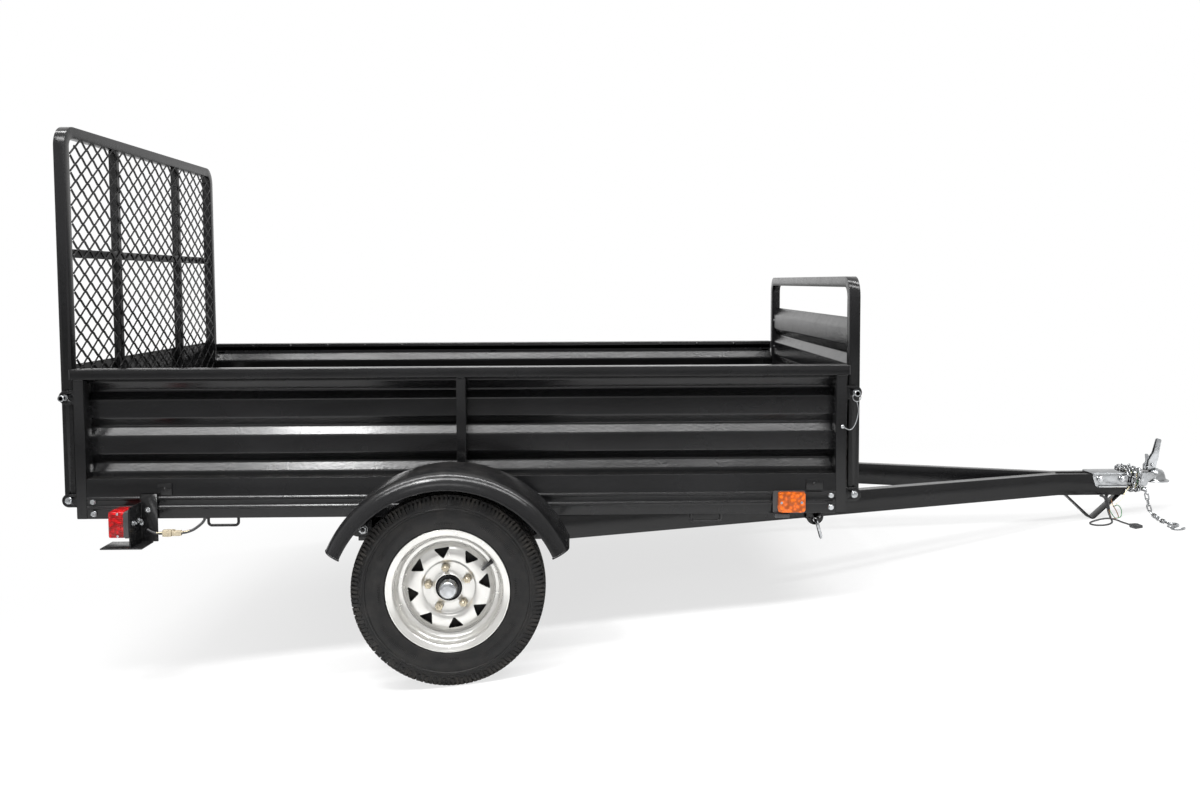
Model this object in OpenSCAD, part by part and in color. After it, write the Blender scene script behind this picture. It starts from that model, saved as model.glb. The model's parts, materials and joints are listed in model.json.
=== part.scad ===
// Single-axle tilting utility trailer with a mesh ramp gate and a folding front gate.
// X runs forwards to the coupler, Y to the left, Z up. Sizes are given with the trailer
// level; park() then sets it nose-down on its two tyres and its parking foot.

/* [Bed] */
// Length of the bed over its top rails
bed_length = 2280; // [1800:10:2800]
// Width of the bed over its side rails
bed_width = 1372; // [1150:2:1700]
// Distance from the axle forwards to the front end of the bed
axle_to_front = 1161; // [900:1:1400]
// Height of the underside of the bed above the middle of the axle
ride_height = 151; // [140:1:250]
// Height of the sides, from the underside of the bed to the top of the top rail
side_height = 440; // [340:1:560]
// Height of the top rail tube
rail_height = 30; // [24:1:40]
// Depth of the rails and posts across the trailer
rail_depth = 50; // [40:1:60]
// Width of the corner posts along the trailer
post_width = 30; // [24:1:40]
// Width of the centre post along the trailer
centre_post_width = 27; // [20:1:40]
// Distance that the top rails run past the corner posts
rail_overhang = 8; // [2:1:20]
// Wall thickness of the rail and post tubes
tube_wall = 3; // [2:0.5:4]
// Height of the pressed lower rail
lower_rail_height = 119; // [100:1:150]
// Height of the floor above the underside of the bed
floor_height = 32; // [28:1:50]
// Thickness of the floor sheet
floor_thickness = 3; // [2:0.5:5]
// Number of cross members under the floor, between the sills
cross_member_count = 4; // [2:1:8]

/* [Side panels] */
// Height from one crest of the corrugated sheet to the next
crest_pitch = 107; // [80:1:140]
// Flat width of a crest
crest_flat = 56; // [40:1:70]
// Flat width of a groove
groove_flat = 15; // [8:1:20]
// Depth of the grooves
groove_depth = 20; // [10:1:26]
// Thickness of the corrugated sheet
sheet_thickness = 2; // [1.5:0.5:3]

/* [Drawbar] */
// Height of the drawbar tubes
arm_height = 76; // [60:1:90]
// Width of the drawbar tubes
arm_width = 38; // [34:1:50]
// Gap between the top of the drawbar and the underside of the bed
arm_gap = 6; // [5:1:20]
// Distance of the drawbar arms' outer faces inside the sides of the bed
arm_inset = 46; // [46:1:120]
// Distance from the axle to where the arms turn inwards
arm_rear_bend_x = 330; // [250:5:450]
// Distance from the axle to where the arms meet
arm_front_bend_x = 2077; // [1900:1:2400]
// Length of the parallel nose behind the coupler
nose_length = 243; // [200:1:300]
// Distance of the tilt pivot behind the axle
pivot_back = 300; // [280:1:360]
// Height of the tilt pivot below the underside of the bed
pivot_drop = 38; // [38:1:60]

/* [Coupler] */
// Inner diameter of the ball socket
socket_d = 51.4; // [51:0.1:52]
// Distance from the end of the nose to the socket's axis
socket_ahead = 127; // [110:1:140]
// Distance from the meeting point of the arms to the tip of the parking foot
foot_ahead = 136; // [125:1:145]
// Depth of the parking foot below the drawbar
foot_depth = 91; // [70:1:120]

/* [Axle and wheels] */
// Outer diameter of the tyres
tyre_d = 534; // [500:1:600]
// Width of the tyres
tyre_width = 122; // [110:1:150]
// Distance from the sides of the bed to the tyres
tyre_gap = 148; // [140:1:200]
// Diameter over the rim flanges
rim_d = 340; // [320:1:360]
// Width over the rim flanges
rim_width = 112; // [100:1:120]
// Diameter of the circle of wheel studs
stud_circle_d = 114.3; // [100:0.1:120]
// Distance of the middles of the leaf springs outside the sides of the bed
spring_offset = 74; // [64:1:94]
// Length of the leaf springs from eye to eye
spring_length = 512; // [460:2:540]

/* [Fenders] */
// Distance of the fender's arc outside the tyre's radius
fender_gap = 96; // [85:1:140]
// Height of the fender's centre below the axle
fender_drop = 35; // [0:1:60]
// Width of the fender
fender_width = 200; // [190:1:240]
// Angle above the horizontal at which the fender ends
fender_end_angle = 21.5; // [15:0.5:40]

/* [Ramp gate] */
// Height of the ramp gate's top above the underside of the bed
ramp_height = 1150; // [900:1:1400]
// Distance of both gate frames inside the sides of the bed
gate_inset = 26; // [20:1:32]
// Size of the square tubes of both gate frames
gate_tube = 32; // [28:1:40]
// Outer radius of the gates' top corners
gate_corner_r = 62; // [50:1:90]
// Height of the ramp's middle bar above the underside of the bed
ramp_bar_height = 779; // [600:1:980]
// Distance of the upright bars from the middle
ramp_upright_offset = 275; // [200:5:330]
// Size of the bars
ramp_bar = 25; // [18:1:30]
// Long way of the mesh's diamonds
mesh_long = 170; // [80:5:260]
// Short way of the mesh's diamonds
mesh_short = 102; // [40:1:160]
// Width of a mesh strand
mesh_strand = 6; // [3:0.5:10]
// Height of the hinge pins of both gates above the underside of the bed
hinge_height = 52; // [45:1:80]

/* [Front gate] */
// Height of the front gate's top above the underside of the bed
hoop_height = 701; // [620:1:880]
// Height of the top of the front panel above the underside of the bed
panel_height = 577; // [500:1:660]

/* [Hidden] */
// Clearances
gate_gap = 5;
ear_gap = 6;
lock_gap = 8;
pin_clearance = 0.3;
seat_gap = 0.3;

// Colours
black_paint = "#17181a";
zinc = "#b9bcc0";
wheel_grey = "#c9c8c4";
rubber = "#26272a";
red_lens = "#c4161c";
amber_lens = "#e8820c";
beige = "#c9b48a";
dark_plastic = "#202124";

// Heights with the trailer level
axle_z = tyre_d / 2;
bed_bottom = axle_z + ride_height;
rail_top = bed_bottom + side_height;
rail_bottom = rail_top - rail_height;
lower_rail_top = bed_bottom + lower_rail_height;
floor_top = bed_bottom + floor_height;
arm_top = bed_bottom - arm_gap;
arm_bottom = arm_top - arm_height;
pivot_z = bed_bottom - pivot_drop;
hinge_z = bed_bottom + hinge_height;
ramp_top = bed_bottom + ramp_height;
ramp_bar_z = bed_bottom + ramp_bar_height;
hoop_top = bed_bottom + hoop_height;
panel_top = bed_bottom + panel_height;

// Lengths
bed_front = axle_to_front;
bed_rear = axle_to_front - bed_length;
post_rear_x = bed_rear + rail_overhang;
post_front_x = bed_front - rail_overhang - post_width;
ramp_x = bed_rear - gate_gap - gate_tube / 2;
hoop_x = bed_front + gate_gap + gate_tube / 2;
pivot_x = -pivot_back;
nose_end = arm_front_bend_x + nose_length;
socket_x = nose_end + socket_ahead;
foot_x = arm_front_bend_x + foot_ahead;

// Half widths
side_y = bed_width / 2;
panel_y = side_y - rail_depth;
gate_y = side_y - gate_inset;
arm_half_span = side_y - arm_inset;
spring_y = side_y + spring_offset;
wheel_y = side_y + tyre_gap + tyre_width / 2;
fender_y = wheel_y - 120;

// Sections
bead = 4;
bead_height = 12;
lower_wall = 3;
plate = 6;
sill_depth = 40;
cross_member_width = 40;
cross_member_bottom = bed_bottom + lower_wall;
floor_bottom = floor_top - floor_thickness;
hinge_pin_r = 6;
hinge_ear_r = 20;
latch_z = rail_bottom - 53;
pivot_pin_r = 10;
pivot_ear_r = 22;
arm_end_r = 32;
arm_wall = 3.5;
eye_r = 16;
spring_width = 45;
leaf_thickness = 7;
leaf_count = 4;
spring_pin_r = 6.5;
clamp_half = 45;
clamp_lap = 18;
clamp_plate = 8;
clamp_bolt_r = 5;
clamp_bolt_x = 34;
eye_z = arm_top - 8;
axle_r = 24;
spindle_r = 15;
hanger_plate = 5;
hanger_half = 24;
outrigger_half = 14;
fender_thickness = 2.5;
fender_lip = 30;
fender_r = tyre_d / 2 + fender_gap;
fender_z = axle_z - fender_drop;
stud_r = 6.35;
stud_count = 5;
hub_bore_clearance = 0.1;
coupler_wall = 4;
socket_r = socket_d / 2;
socket_wall = 5;
socket_wall_height = 18;
lip_r = socket_r + 20;
coupler_top = arm_top + coupler_wall;
coupler_low = arm_top - 48;
dome_top = coupler_top + 2;
latch_half = 8;
socket_bottom = arm_top - 42;
foot_strap = 5;
foot_width = 40;
foot_tip_r = 14;
foot_reach = 104;

// Parking attitude: turned nose-down about the axle until the foot's tip touches the ground
foot_tip_z = arm_bottom - foot_depth + foot_tip_r;
foot_rise = foot_tip_z - axle_z;
park_angle = asin((axle_z - foot_tip_r) / norm([foot_x, foot_rise])) + atan2(foot_rise, foot_x);

// The origin lies midway between the rearmost and the foremost point when parked
rearmost = ramp_x * cos(park_angle) + (hinge_z - axle_z) * sin(park_angle) - hinge_ear_r;
foremost = (socket_x + lip_r) * cos(park_angle)
    + (socket_bottom + socket_wall - axle_z) * sin(park_angle);
origin_x = (rearmost + foremost) / 2;

$fn = 48;

// ---------------------------------------------------------------- helpers

module park()
    translate([-origin_x, 0, axle_z]) rotate([0, park_angle, 0]) translate([0, 0, -axle_z])
        children();

module on_side(side) {
    if (side > 0) children();
    else mirror([0, 1, 0]) children();
}

module both_sides() {
    for (side = [-1, 1]) on_side(side) children();
}

// Box from its lowest corner to its highest
module block(low, high) translate(low) cube(high - low);

// Cylinder along +Y
module rod_y(r, y0, y1, x = 0, z = 0)
    translate([x, y1, z]) rotate([90, 0, 0]) cylinder(r = r, h = y1 - y0);

// Outline in X and Z, extruded along +Y from y0 to y1
module slab_y(y0, y1) translate([0, y1, 0]) rotate([90, 0, 0]) linear_extrude(y1 - y0) children();

// Outline in Y and Z, extruded along +X from x0 to x1
module slab_x(x0, x1)
    translate([x0, 0, 0]) rotate([90, 0, 90]) linear_extrude(x1 - x0) children();

module tube_x(x0, x1, y0, y1, z0, z1, wall)
    difference() {
        block([x0, y0, z0], [x1, y1, z1]);
        block([x0 - 1, y0 + wall, z0 + wall], [x1 + 1, y1 - wall, z1 - wall]);
    }

module tube_y(x0, x1, y0, y1, z0, z1, wall)
    difference() {
        block([x0, y0, z0], [x1, y1, z1]);
        block([x0 + wall, y0 - 1, z0 + wall], [x1 - wall, y1 + 1, z1 - wall]);
    }

module tube_z(x0, x1, y0, y1, z0, z1, wall)
    difference() {
        block([x0, y0, z0], [x1, y1, z1]);
        block([x0 + wall, y0 + wall, z0 - 1], [x1 - wall, y1 - wall, z1 + 1]);
    }

function reversed(list) = [for (i = [len(list) - 1:-1:0]) list[i]];

// Corrugated line from height z0 to z1 as [depth, height] points; crests lie at depth 0 and
// are laid out downwards from first_crest, the top edge of a crest. A groove that would end
// below z0 is left out, so the sheet meets what it stands on flat
function flank_width() = (crest_pitch - crest_flat - groove_flat) / 2;
function below_crest(first_crest, z) = let (d = first_crest - z)
    d - crest_pitch * floor(d / crest_pitch);
function corrugation_depth(first_crest, z) =
    let (d = below_crest(first_crest, z), flank = flank_width())
        d <= crest_flat ? 0
        : d <= crest_flat + flank ? groove_depth * (d - crest_flat) / flank
        : d <= crest_flat + flank + groove_flat ? groove_depth
        : groove_depth * (crest_pitch - d) / flank;
function groove_points(top) = [
    [0, top - crest_flat], [groove_depth, top - crest_flat - flank_width()],
    [groove_depth, top - crest_pitch + flank_width()], [0, top - crest_pitch]
];
function corrugation(first_crest, z0, z1) = concat(
    [[corrugation_depth(first_crest, z1), z1]],
    [for (i = [floor((first_crest - z1) / crest_pitch):ceil((first_crest - z0) / crest_pitch) - 2])
        for (p = groove_points(first_crest - i * crest_pitch)) if (p[1] < z1 - 1) p],
    [[0, z0]]
);

// Sheet outline of a corrugated line, with the given thickness measured across the sheet
module corrugated_outline(line, thickness)
    polygon(concat(line, reversed([for (p = line) [p[0] + thickness, p[1]]])));

// ---------------------------------------------------------------- drawbar

arm_slope_dx = arm_front_bend_x - arm_rear_bend_x;
arm_slope_dy = arm_half_span - arm_width;
arm_slope = atan2(arm_slope_dy, arm_slope_dx);
bend_shift = tan(arm_slope / 2);

// Plan outline of the left arm, shrunk by a wall thickness on both faces
function arm_plan(wall) = [
    [pivot_x - arm_end_r, arm_half_span - wall],
    [arm_rear_bend_x - wall * bend_shift, arm_half_span - wall],
    [arm_front_bend_x - wall * bend_shift, arm_width - wall],
    [nose_end, arm_width - wall],
    [nose_end, wall],
    [arm_front_bend_x - (arm_width - wall) * bend_shift, wall],
    [arm_rear_bend_x - (arm_width - wall) * bend_shift, arm_half_span - arm_width + wall],
    [pivot_x - arm_end_r, arm_half_span - arm_width + wall]
];

// Side outline of an arm: square above the ground, round behind the pivot
module arm_side(wall)
    union() {
        translate([pivot_x, arm_bottom + wall])
            square([nose_end - pivot_x + wall, arm_height - 2 * wall]);
        translate([pivot_x, pivot_z]) circle(r = arm_end_r - wall);
    }

module drawbar_arm()
    difference() {
        intersection() {
            translate([0, 0, arm_bottom]) linear_extrude(arm_height) polygon(arm_plan(0));
            slab_y(-1, arm_half_span + 1) arm_side(0);
        }
        intersection() {
            translate([0, 0, arm_bottom + arm_wall]) linear_extrude(arm_height - 2 * arm_wall)
                polygon(arm_plan(arm_wall));
            block([pivot_x + arm_end_r, 0, arm_bottom], [nose_end - plate, arm_half_span, arm_top]);
        }
        rod_y(pivot_pin_r + pin_clearance, arm_half_span - arm_width - 1, arm_half_span + 1,
            pivot_x, pivot_z);
    }

module drawbar_arm_right() color(black_paint) park() on_side(-1) drawbar_arm();
module drawbar_arm_left() color(black_paint) park() on_side(1) drawbar_arm();

cross_tube = 50;
cross_tube_inset = arm_half_span - arm_width;
front_cross_x = arm_rear_bend_x - 70;
rear_cross_x = pivot_x + 90;

module drawbar_cross_tubes() color(black_paint) park()
    for (x = [rear_cross_x, front_cross_x])
        tube_y(x, x + cross_tube, -cross_tube_inset, cross_tube_inset,
            arm_bottom + 13, arm_bottom + 13 + cross_tube, tube_wall);

module tilt_pivot_pins() color(zinc) park() both_sides() {
    inner = arm_half_span - arm_width - ear_gap - plate;
    outer = arm_half_span + ear_gap + plate;
    rod_y(pivot_pin_r, inner - 12, outer + 4, pivot_x, pivot_z);
}

// ---------------------------------------------------------------- coupler

coupler_rear = nose_end - 108;
coupler_half = arm_width + coupler_wall;
neck_x = nose_end + 70;
coupler_bolt_x = [coupler_rear + 13, coupler_rear + 93];
coupler_bolt_z = arm_top - 18;
coupler_bolt_r = 6;

module coupler() color(zinc) park()
    difference() {
        union() {
            difference() {
                block([coupler_rear, -coupler_half, coupler_low],
                    [neck_x, coupler_half, coupler_top]);
                block([coupler_rear - 1, -arm_width, coupler_low - 1], [nose_end, arm_width, arm_top]);
                block([nose_end, -arm_width, coupler_low - 1],
                    [neck_x - coupler_wall, arm_width, arm_top]);
            }
            translate([socket_x, 0, socket_bottom])
                cylinder(r = socket_r + socket_wall, h = coupler_top - socket_bottom - 6);
            translate([socket_x, 0, coupler_top - 6])
                cylinder(r1 = socket_r + socket_wall, r2 = socket_r - 2, h = dome_top - coupler_top + 6);
            translate([socket_x, 0, socket_bottom]) cylinder(r = lip_r, h = socket_wall);
            block([neck_x - coupler_wall, -socket_r - 2, socket_bottom],
                [socket_x, socket_r + 2, coupler_top - 8]);
        }
        translate([socket_x, 0, socket_bottom - 1]) cylinder(r = socket_r, h = socket_wall_height + 1);
        translate([socket_x, 0, socket_bottom + socket_wall_height]) sphere(r = socket_r);
        for (x = coupler_bolt_x)
            rod_y(coupler_bolt_r, -coupler_half - 1, coupler_half + 1, x, coupler_bolt_z);
    }

// Latch trigger and lever, standing on the dome
module coupler_latch() color(zinc) park()
    slab_y(-latch_half, latch_half) translate([socket_x, dome_top]) polygon([
        [-46, 0], [-4, 0], [2, 40], [16, 112], [0, 116], [-14, 62], [-28, 46], [-46, 34]
    ]);

foot_rear_x = foot_x - foot_reach;
foot_front_x = foot_x + foot_reach;

// Outline of the bent strap, inset by t from its outer face
module foot_outline(t) {
    dx = foot_reach;
    dz = arm_bottom - foot_tip_z;
    reach = norm([dx, dz]);
    lean = asin((foot_tip_r) / reach) + atan2(dz, dx);
    polygon(concat(
        [[foot_rear_x + t / sin(lean), arm_bottom]],
        [for (a = [270 - lean:lean / 8:270 + lean])
            [foot_x + (foot_tip_r - t) * cos(a), foot_tip_z + (foot_tip_r - t) * sin(a)]],
        [[foot_front_x - t / sin(lean), arm_bottom]]
    ));
}

module parking_foot() color(black_paint) park()
    slab_y(-foot_width / 2, foot_width / 2)
        difference() {
            foot_outline(0);
            foot_outline(foot_strap);
        }

// ---------------------------------------------------------------- axle and springs

axle_end = wheel_y - 62;
spindle_end = wheel_y + 20;

module axle() color(black_paint) park() {
    rod_y(axle_r, -axle_end, axle_end, 0, axle_z);
    both_sides() rod_y(spindle_r, axle_end, spindle_end, 0, axle_z);
}

spring_seat_z = axle_z + axle_r + seat_gap;
spring_camber = eye_z - spring_seat_z - leaf_thickness * leaf_count;
spring_half = spring_length / 2;
spring_arc_r = (pow(spring_half, 2) + pow(spring_camber, 2)) / (2 * spring_camber);
main_leaf_bottom = spring_seat_z + leaf_thickness * (leaf_count - 1);

// Leaf number i counts down from the main leaf; each is shorter than the one above
module leaf(i) {
    centre_z = main_leaf_bottom + spring_arc_r;
    outer_r = spring_arc_r + i * leaf_thickness;
    half = spring_half * (1 - 0.22 * i);
    intersection() {
        translate([0, centre_z]) difference() {
            circle(r = outer_r, $fn = 96);
            circle(r = outer_r - leaf_thickness, $fn = 96);
        }
        translate([-half, spring_seat_z - 1]) square([2 * half, eye_z - spring_seat_z + 20]);
    }
}

module leaf_spring() {
    y0 = spring_y - spring_width / 2;
    y1 = spring_y + spring_width / 2;
    pack_top = spring_seat_z + leaf_thickness * leaf_count;
    clamp_bottom = axle_z - axle_r - seat_gap;
    difference() {
        union() {
            for (i = [0:leaf_count - 1]) slab_y(y0, y1) leaf(i);
            for (x = [-spring_half, spring_half]) rod_y(eye_r, y0, y1, x, eye_z);
            // Clamp around the axle: seat, top plate, bottom plate and four bolts
            block([-clamp_half, y0 - clamp_lap, spring_seat_z],
                [clamp_half, y1 + clamp_lap, spring_seat_z + clamp_plate]);
            block([-clamp_half, y0 - clamp_lap, pack_top - 2],
                [clamp_half, y1 + clamp_lap, pack_top + clamp_plate]);
            block([-clamp_half, y0 - clamp_lap, clamp_bottom - clamp_plate],
                [clamp_half, y1 + clamp_lap, clamp_bottom]);
            for (x = [-clamp_bolt_x, clamp_bolt_x])
                for (y = [y0 - clamp_lap / 2, y1 + clamp_lap / 2])
                    translate([x, y, clamp_bottom - clamp_plate - 8])
                        cylinder(r = clamp_bolt_r, h = pack_top - clamp_bottom + 2 * clamp_plate + 16);
        }
        for (x = [-spring_half, spring_half])
            rod_y(spring_pin_r + pin_clearance, y0 - 1, y1 + 1, x, eye_z);
    }
}

module leaf_spring_right() color(black_paint) park() on_side(-1) leaf_spring();
module leaf_spring_left() color(black_paint) park() on_side(1) leaf_spring();

hanger_inner_y = spring_y - spring_width / 2 - 4;
hanger_outer_y = spring_y + spring_width / 2 + 4;
hanger_top = eye_z + 34;

module spring_hangers() color(black_paint) park() both_sides()
    for (x = [-spring_half, spring_half]) {
        for (y = [hanger_inner_y - hanger_plate, hanger_outer_y])
            difference() {
                block([x - hanger_half, y, eye_z - 18],
                    [x + hanger_half, y + hanger_plate, hanger_top]);
                rod_y(spring_pin_r, y - 1, y + hanger_plate + 1, x, eye_z);
            }
        block([x - hanger_half, hanger_inner_y, hanger_top - hanger_plate],
            [x + hanger_half, hanger_outer_y, hanger_top]);
        block([x - outrigger_half, arm_half_span, eye_z - 18],
            [x + outrigger_half, hanger_inner_y - hanger_plate, arm_top - 2]);
        rod_y(spring_pin_r, hanger_inner_y - hanger_plate, hanger_outer_y + hanger_plate + 8,
            x, eye_z);
    }

// ---------------------------------------------------------------- fenders

module fender_profile() {
    r = fender_r;
    t = fender_thickness;
    lip = fender_lip;
    difference() {
        union() {
            translate([r - lip, 0]) square([lip, fender_width - lip]);
            intersection() {
                translate([r - lip, fender_width - lip]) circle(r = lip);
                translate([r - lip, 0]) square([lip, fender_width]);
            }
        }
        translate([r - lip - 1, -1]) square([lip + 1 - t, fender_width - lip + 1]);
        translate([r - lip, fender_width - lip]) circle(r = lip - t);
        translate([0, fender_width - lip]) square([r - lip, lip + 1]);
    }
}

module fender() {
    sweep = 180 - 2 * fender_end_angle;
    translate([0, fender_y, fender_z]) rotate([-90, 0, 0]) rotate([0, 0, 180 + fender_end_angle])
        rotate_extrude(angle = sweep, $fn = 96) fender_profile();
}

module fender_right() color(black_paint) park() on_side(-1) fender();
module fender_left() color(black_paint) park() on_side(1) fender();

stay_y = hanger_outer_y + hanger_plate;
stay_half = 17;
stay_x = spring_half + 8;

module fender_stays() color(black_paint) park() both_sides()
    for (side = [-1, 1])
        slab_y(stay_y, stay_y + hanger_plate)
            intersection() {
                translate([side * stay_x - stay_half, eye_z + 12]) square([2 * stay_half, 120]);
                translate([0, fender_z])
                    circle(r = fender_r - fender_thickness - seat_gap, $fn = 96);
            }

// ---------------------------------------------------------------- bed

bead_z = [bed_bottom + 27, bed_bottom + 54];

function bead_points(z, depth) = [
    [side_y, z], [side_y + depth, z + depth], [side_y + depth, z + bead_height - depth],
    [side_y, z + bead_height]
];
function lower_face(shift) = [for (z = bead_z) for (p = bead_points(z, bead)) [p[0] - shift, p[1]]];

module lower_rail()
    slab_x(post_rear_x + post_width, post_front_x)
        polygon(concat(
            [[panel_y, bed_bottom], [side_y, bed_bottom]],
            lower_face(0),
            [[side_y, lower_rail_top], [panel_y, lower_rail_top],
                [panel_y, lower_rail_top - lower_wall],
                [side_y - lower_wall, lower_rail_top - lower_wall]],
            reversed(lower_face(lower_wall)),
            [[side_y - lower_wall, bed_bottom + lower_wall], [panel_y, bed_bottom + lower_wall]]
        ));

module lower_rail_right() color(black_paint) park() on_side(-1) lower_rail();
module lower_rail_left() color(black_paint) park() on_side(1) lower_rail();

module end_sills() color(black_paint) park()
    for (x = [post_rear_x, bed_front - rail_overhang - sill_depth])
        tube_y(x, x + sill_depth, -panel_y, panel_y, bed_bottom, floor_bottom, tube_wall);

sill_front_x = bed_front - rail_overhang - sill_depth;
sill_rear_x = post_rear_x + sill_depth;
member_step = (sill_front_x - sill_rear_x) / (cross_member_count + 1);
tilt_member_x = pivot_x;

// One cross member stands over the tilt pivot; the others are evenly spaced
module cross_members() color(black_paint) park() {
    y = side_y - lower_wall;
    half = cross_member_width / 2;
    evenly = [for (i = [1:cross_member_count]) sill_rear_x + i * member_step];
    clear = cross_member_width + 30;
    for (x = concat([tilt_member_x], [for (e = evenly) if (abs(e - tilt_member_x) > clear) e]))
        tube_y(x - half, x + half, -y, y, cross_member_bottom, floor_bottom, tube_wall);
}

module floor_panel() color(black_paint) park()
    block([bed_rear, -panel_y + sheet_thickness, floor_bottom],
        [bed_front, panel_y - sheet_thickness, floor_top]);

first_crest = rail_bottom + 43;
panel_top_edge = rail_top - 13;

module side_panel()
    slab_x(bed_rear, bed_front)
        mirror([1, 0]) translate([-panel_y, 0])
            corrugated_outline(corrugation(first_crest, floor_top, panel_top_edge), sheet_thickness);

module side_panel_right() color(black_paint) park() on_side(-1) side_panel();
module side_panel_left() color(black_paint) park() on_side(1) side_panel();

module top_rail() tube_x(bed_rear, bed_front, panel_y, side_y, rail_bottom, rail_top, tube_wall);

module top_rail_right() color(black_paint) park() on_side(-1) top_rail();
module top_rail_left() color(black_paint) park() on_side(1) top_rail();

module corner_posts() color(black_paint) park() both_sides()
    for (x = [post_rear_x, post_front_x])
        tube_z(x, x + post_width, panel_y, side_y, bed_bottom, rail_bottom, tube_wall);

module centre_posts() color(black_paint) park() both_sides()
    tube_z(2, 2 + centre_post_width, panel_y, side_y, lower_rail_top, rail_bottom, tube_wall);

// ---------------------------------------------------------------- fittings under the bed

loop_rod_r = 4;
loop_width = 96;
loop_drop = 27;
loop_x = [bed_rear + 432, bed_front - 424];

// Bent rod loop hanging from the lower rail, in the plane of X and Z
module tie_down_loop(x) {
    y = side_y - 8;
    bend = 10;
    left = x - loop_width / 2 + loop_rod_r;
    right = x + loop_width / 2 - loop_rod_r;
    low = bed_bottom - loop_drop + loop_rod_r;
    for (leg = [left, right])
        translate([leg, y, low + bend]) cylinder(r = loop_rod_r, h = bed_bottom - low - bend);
    translate([left + bend, y, low]) rotate([0, 90, 0])
        cylinder(r = loop_rod_r, h = right - left - 2 * bend);
    for (corner = [[left + bend, 180], [right - bend, 270]])
        translate([corner[0], y, low + bend]) rotate([90, 0, 0]) rotate([0, 0, corner[1]])
            rotate_extrude(angle = 90) translate([bend, 0]) circle(r = loop_rod_r);
}

module tie_down_loops() color(black_paint) park() both_sides()
    for (x = loop_x) tie_down_loop(x);

// Ears on the bed that straddle each arm at the tilt pivot
module tilt_ears() color(black_paint) park() both_sides()
    for (y = [arm_half_span + ear_gap, arm_half_span - arm_width - ear_gap - plate]) {
        top = y > panel_y ? bed_bottom : cross_member_bottom;
        difference() {
            slab_y(y, y + plate) union() {
                translate([pivot_x, pivot_z]) circle(r = pivot_ear_r);
                translate([pivot_x - pivot_ear_r, pivot_z])
                    square([2 * pivot_ear_r, top - pivot_z]);
            }
            rod_y(pivot_pin_r + pin_clearance, y - 1, y + plate + 1, pivot_x, pivot_z);
        }
    }

lock_x = bed_front - 34;
lock_r = 28;
lock_z = arm_bottom + 8;
lock_arm_outer = arm_width + (arm_front_bend_x - lock_x) * arm_slope_dy / arm_slope_dx;
lock_slant = lock_r * arm_slope_dy / arm_slope_dx;
lock_outer_y = lock_arm_outer + lock_slant + lock_gap;
lock_inner_y = lock_arm_outer - arm_width / cos(arm_slope) - lock_slant - lock_gap - plate;
lock_hole_z = arm_bottom - 4;
lock_pin_r = 6;

// Ears under the front sill that straddle each arm; the lock pin runs below the arm
module lock_ears() color(black_paint) park() both_sides()
    for (y = [lock_outer_y, lock_inner_y])
        difference() {
            slab_y(y, y + plate) union() {
                translate([lock_x, lock_z]) circle(r = lock_r);
                translate([lock_x - lock_r, lock_z]) square([2 * lock_r, bed_bottom - lock_z]);
            }
            rod_y(lock_pin_r + pin_clearance, y - 1, y + plate + 1, lock_x, lock_hole_z);
        }

// Each lock pin is drawn back, so that it stands in its outer ear clear of the arm
module lock_pins() color(zinc) park() both_sides() {
    end_y = lock_outer_y + plate + 34;
    rod_y(lock_pin_r, lock_outer_y, end_y, lock_x, lock_hole_z);
    translate([lock_x, end_y - lock_pin_r, lock_hole_z]) rotate([0, 165, 0])
        cylinder(r = lock_pin_r - 0.5, h = 58);
}

// ---------------------------------------------------------------- gate hinges and latches

ear_y = gate_y + ear_gap;

// Ear standing out of a corner post towards a gate pin at [x, z]
module gate_ear(post_face, x, z) {
    low = min(post_face, x);
    high = max(post_face, x);
    difference() {
        slab_y(ear_y, ear_y + plate) union() {
            translate([x, z]) circle(r = hinge_ear_r);
            translate([low, z - hinge_ear_r]) square([high - low, 2 * hinge_ear_r]);
        }
        rod_y(hinge_pin_r, ear_y - 1, ear_y + plate + 1, x, z);
    }
}

module gate_hinge_ears() color(black_paint) park() both_sides()
    for (z = [hinge_z, latch_z]) {
        gate_ear(post_rear_x, ramp_x, z);
        gate_ear(post_front_x + post_width, hoop_x, z);
    }

// Hinge pins below, and above them the latch pins, which are drawn back out of the gates
module gate_pins() color(zinc) park() both_sides()
    for (x = [ramp_x, hoop_x]) {
        rod_y(hinge_pin_r, gate_y - gate_tube + 1, ear_y + plate + 10, x, hinge_z);
        rod_y(hinge_pin_r, ear_y, ear_y + plate + 30, x, latch_z);
    }

// ---------------------------------------------------------------- lamps

lamp_x0 = bed_rear + 134;
lamp_depth = 60;
lamp_z0 = bed_bottom - 38;
lamp_height = 78;
lamp_width = 84;
lamp_y0 = side_y + bead + 4;
marker_x0 = bed_front - 213;
marker_z0 = bed_bottom + 7;
marker_length = 80;
marker_height = 60;
bracket_plate = 4;

module tail_lamps() color(red_lens) park() both_sides()
    block([lamp_x0, lamp_y0, lamp_z0], [lamp_x0 + lamp_depth, lamp_y0 + lamp_width,
        lamp_z0 + lamp_height]);

lamp_x1 = lamp_x0 + lamp_depth;
lamp_shelf_z = lamp_z0 - 28;
lamp_plate_x = lamp_x1 + 51;

// Plate across behind the lamp, plate along the rail and shelf below the lamp
module tail_lamp_brackets() color(black_paint) park() both_sides() {
    outer_y = lamp_y0 + lamp_width;
    block([lamp_x1, side_y + bead, lamp_shelf_z],
        [lamp_x1 + bracket_plate, outer_y, lamp_z0 + lamp_height + 10]);
    block([lamp_x1, side_y + bead, lamp_shelf_z],
        [lamp_plate_x, side_y + bead + bracket_plate, lamp_z0 + lamp_height + 34]);
    block([lamp_x0 - 24, side_y + bead, lamp_shelf_z - bracket_plate], [lamp_x1 + 36, outer_y, lamp_shelf_z]);
}

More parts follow.
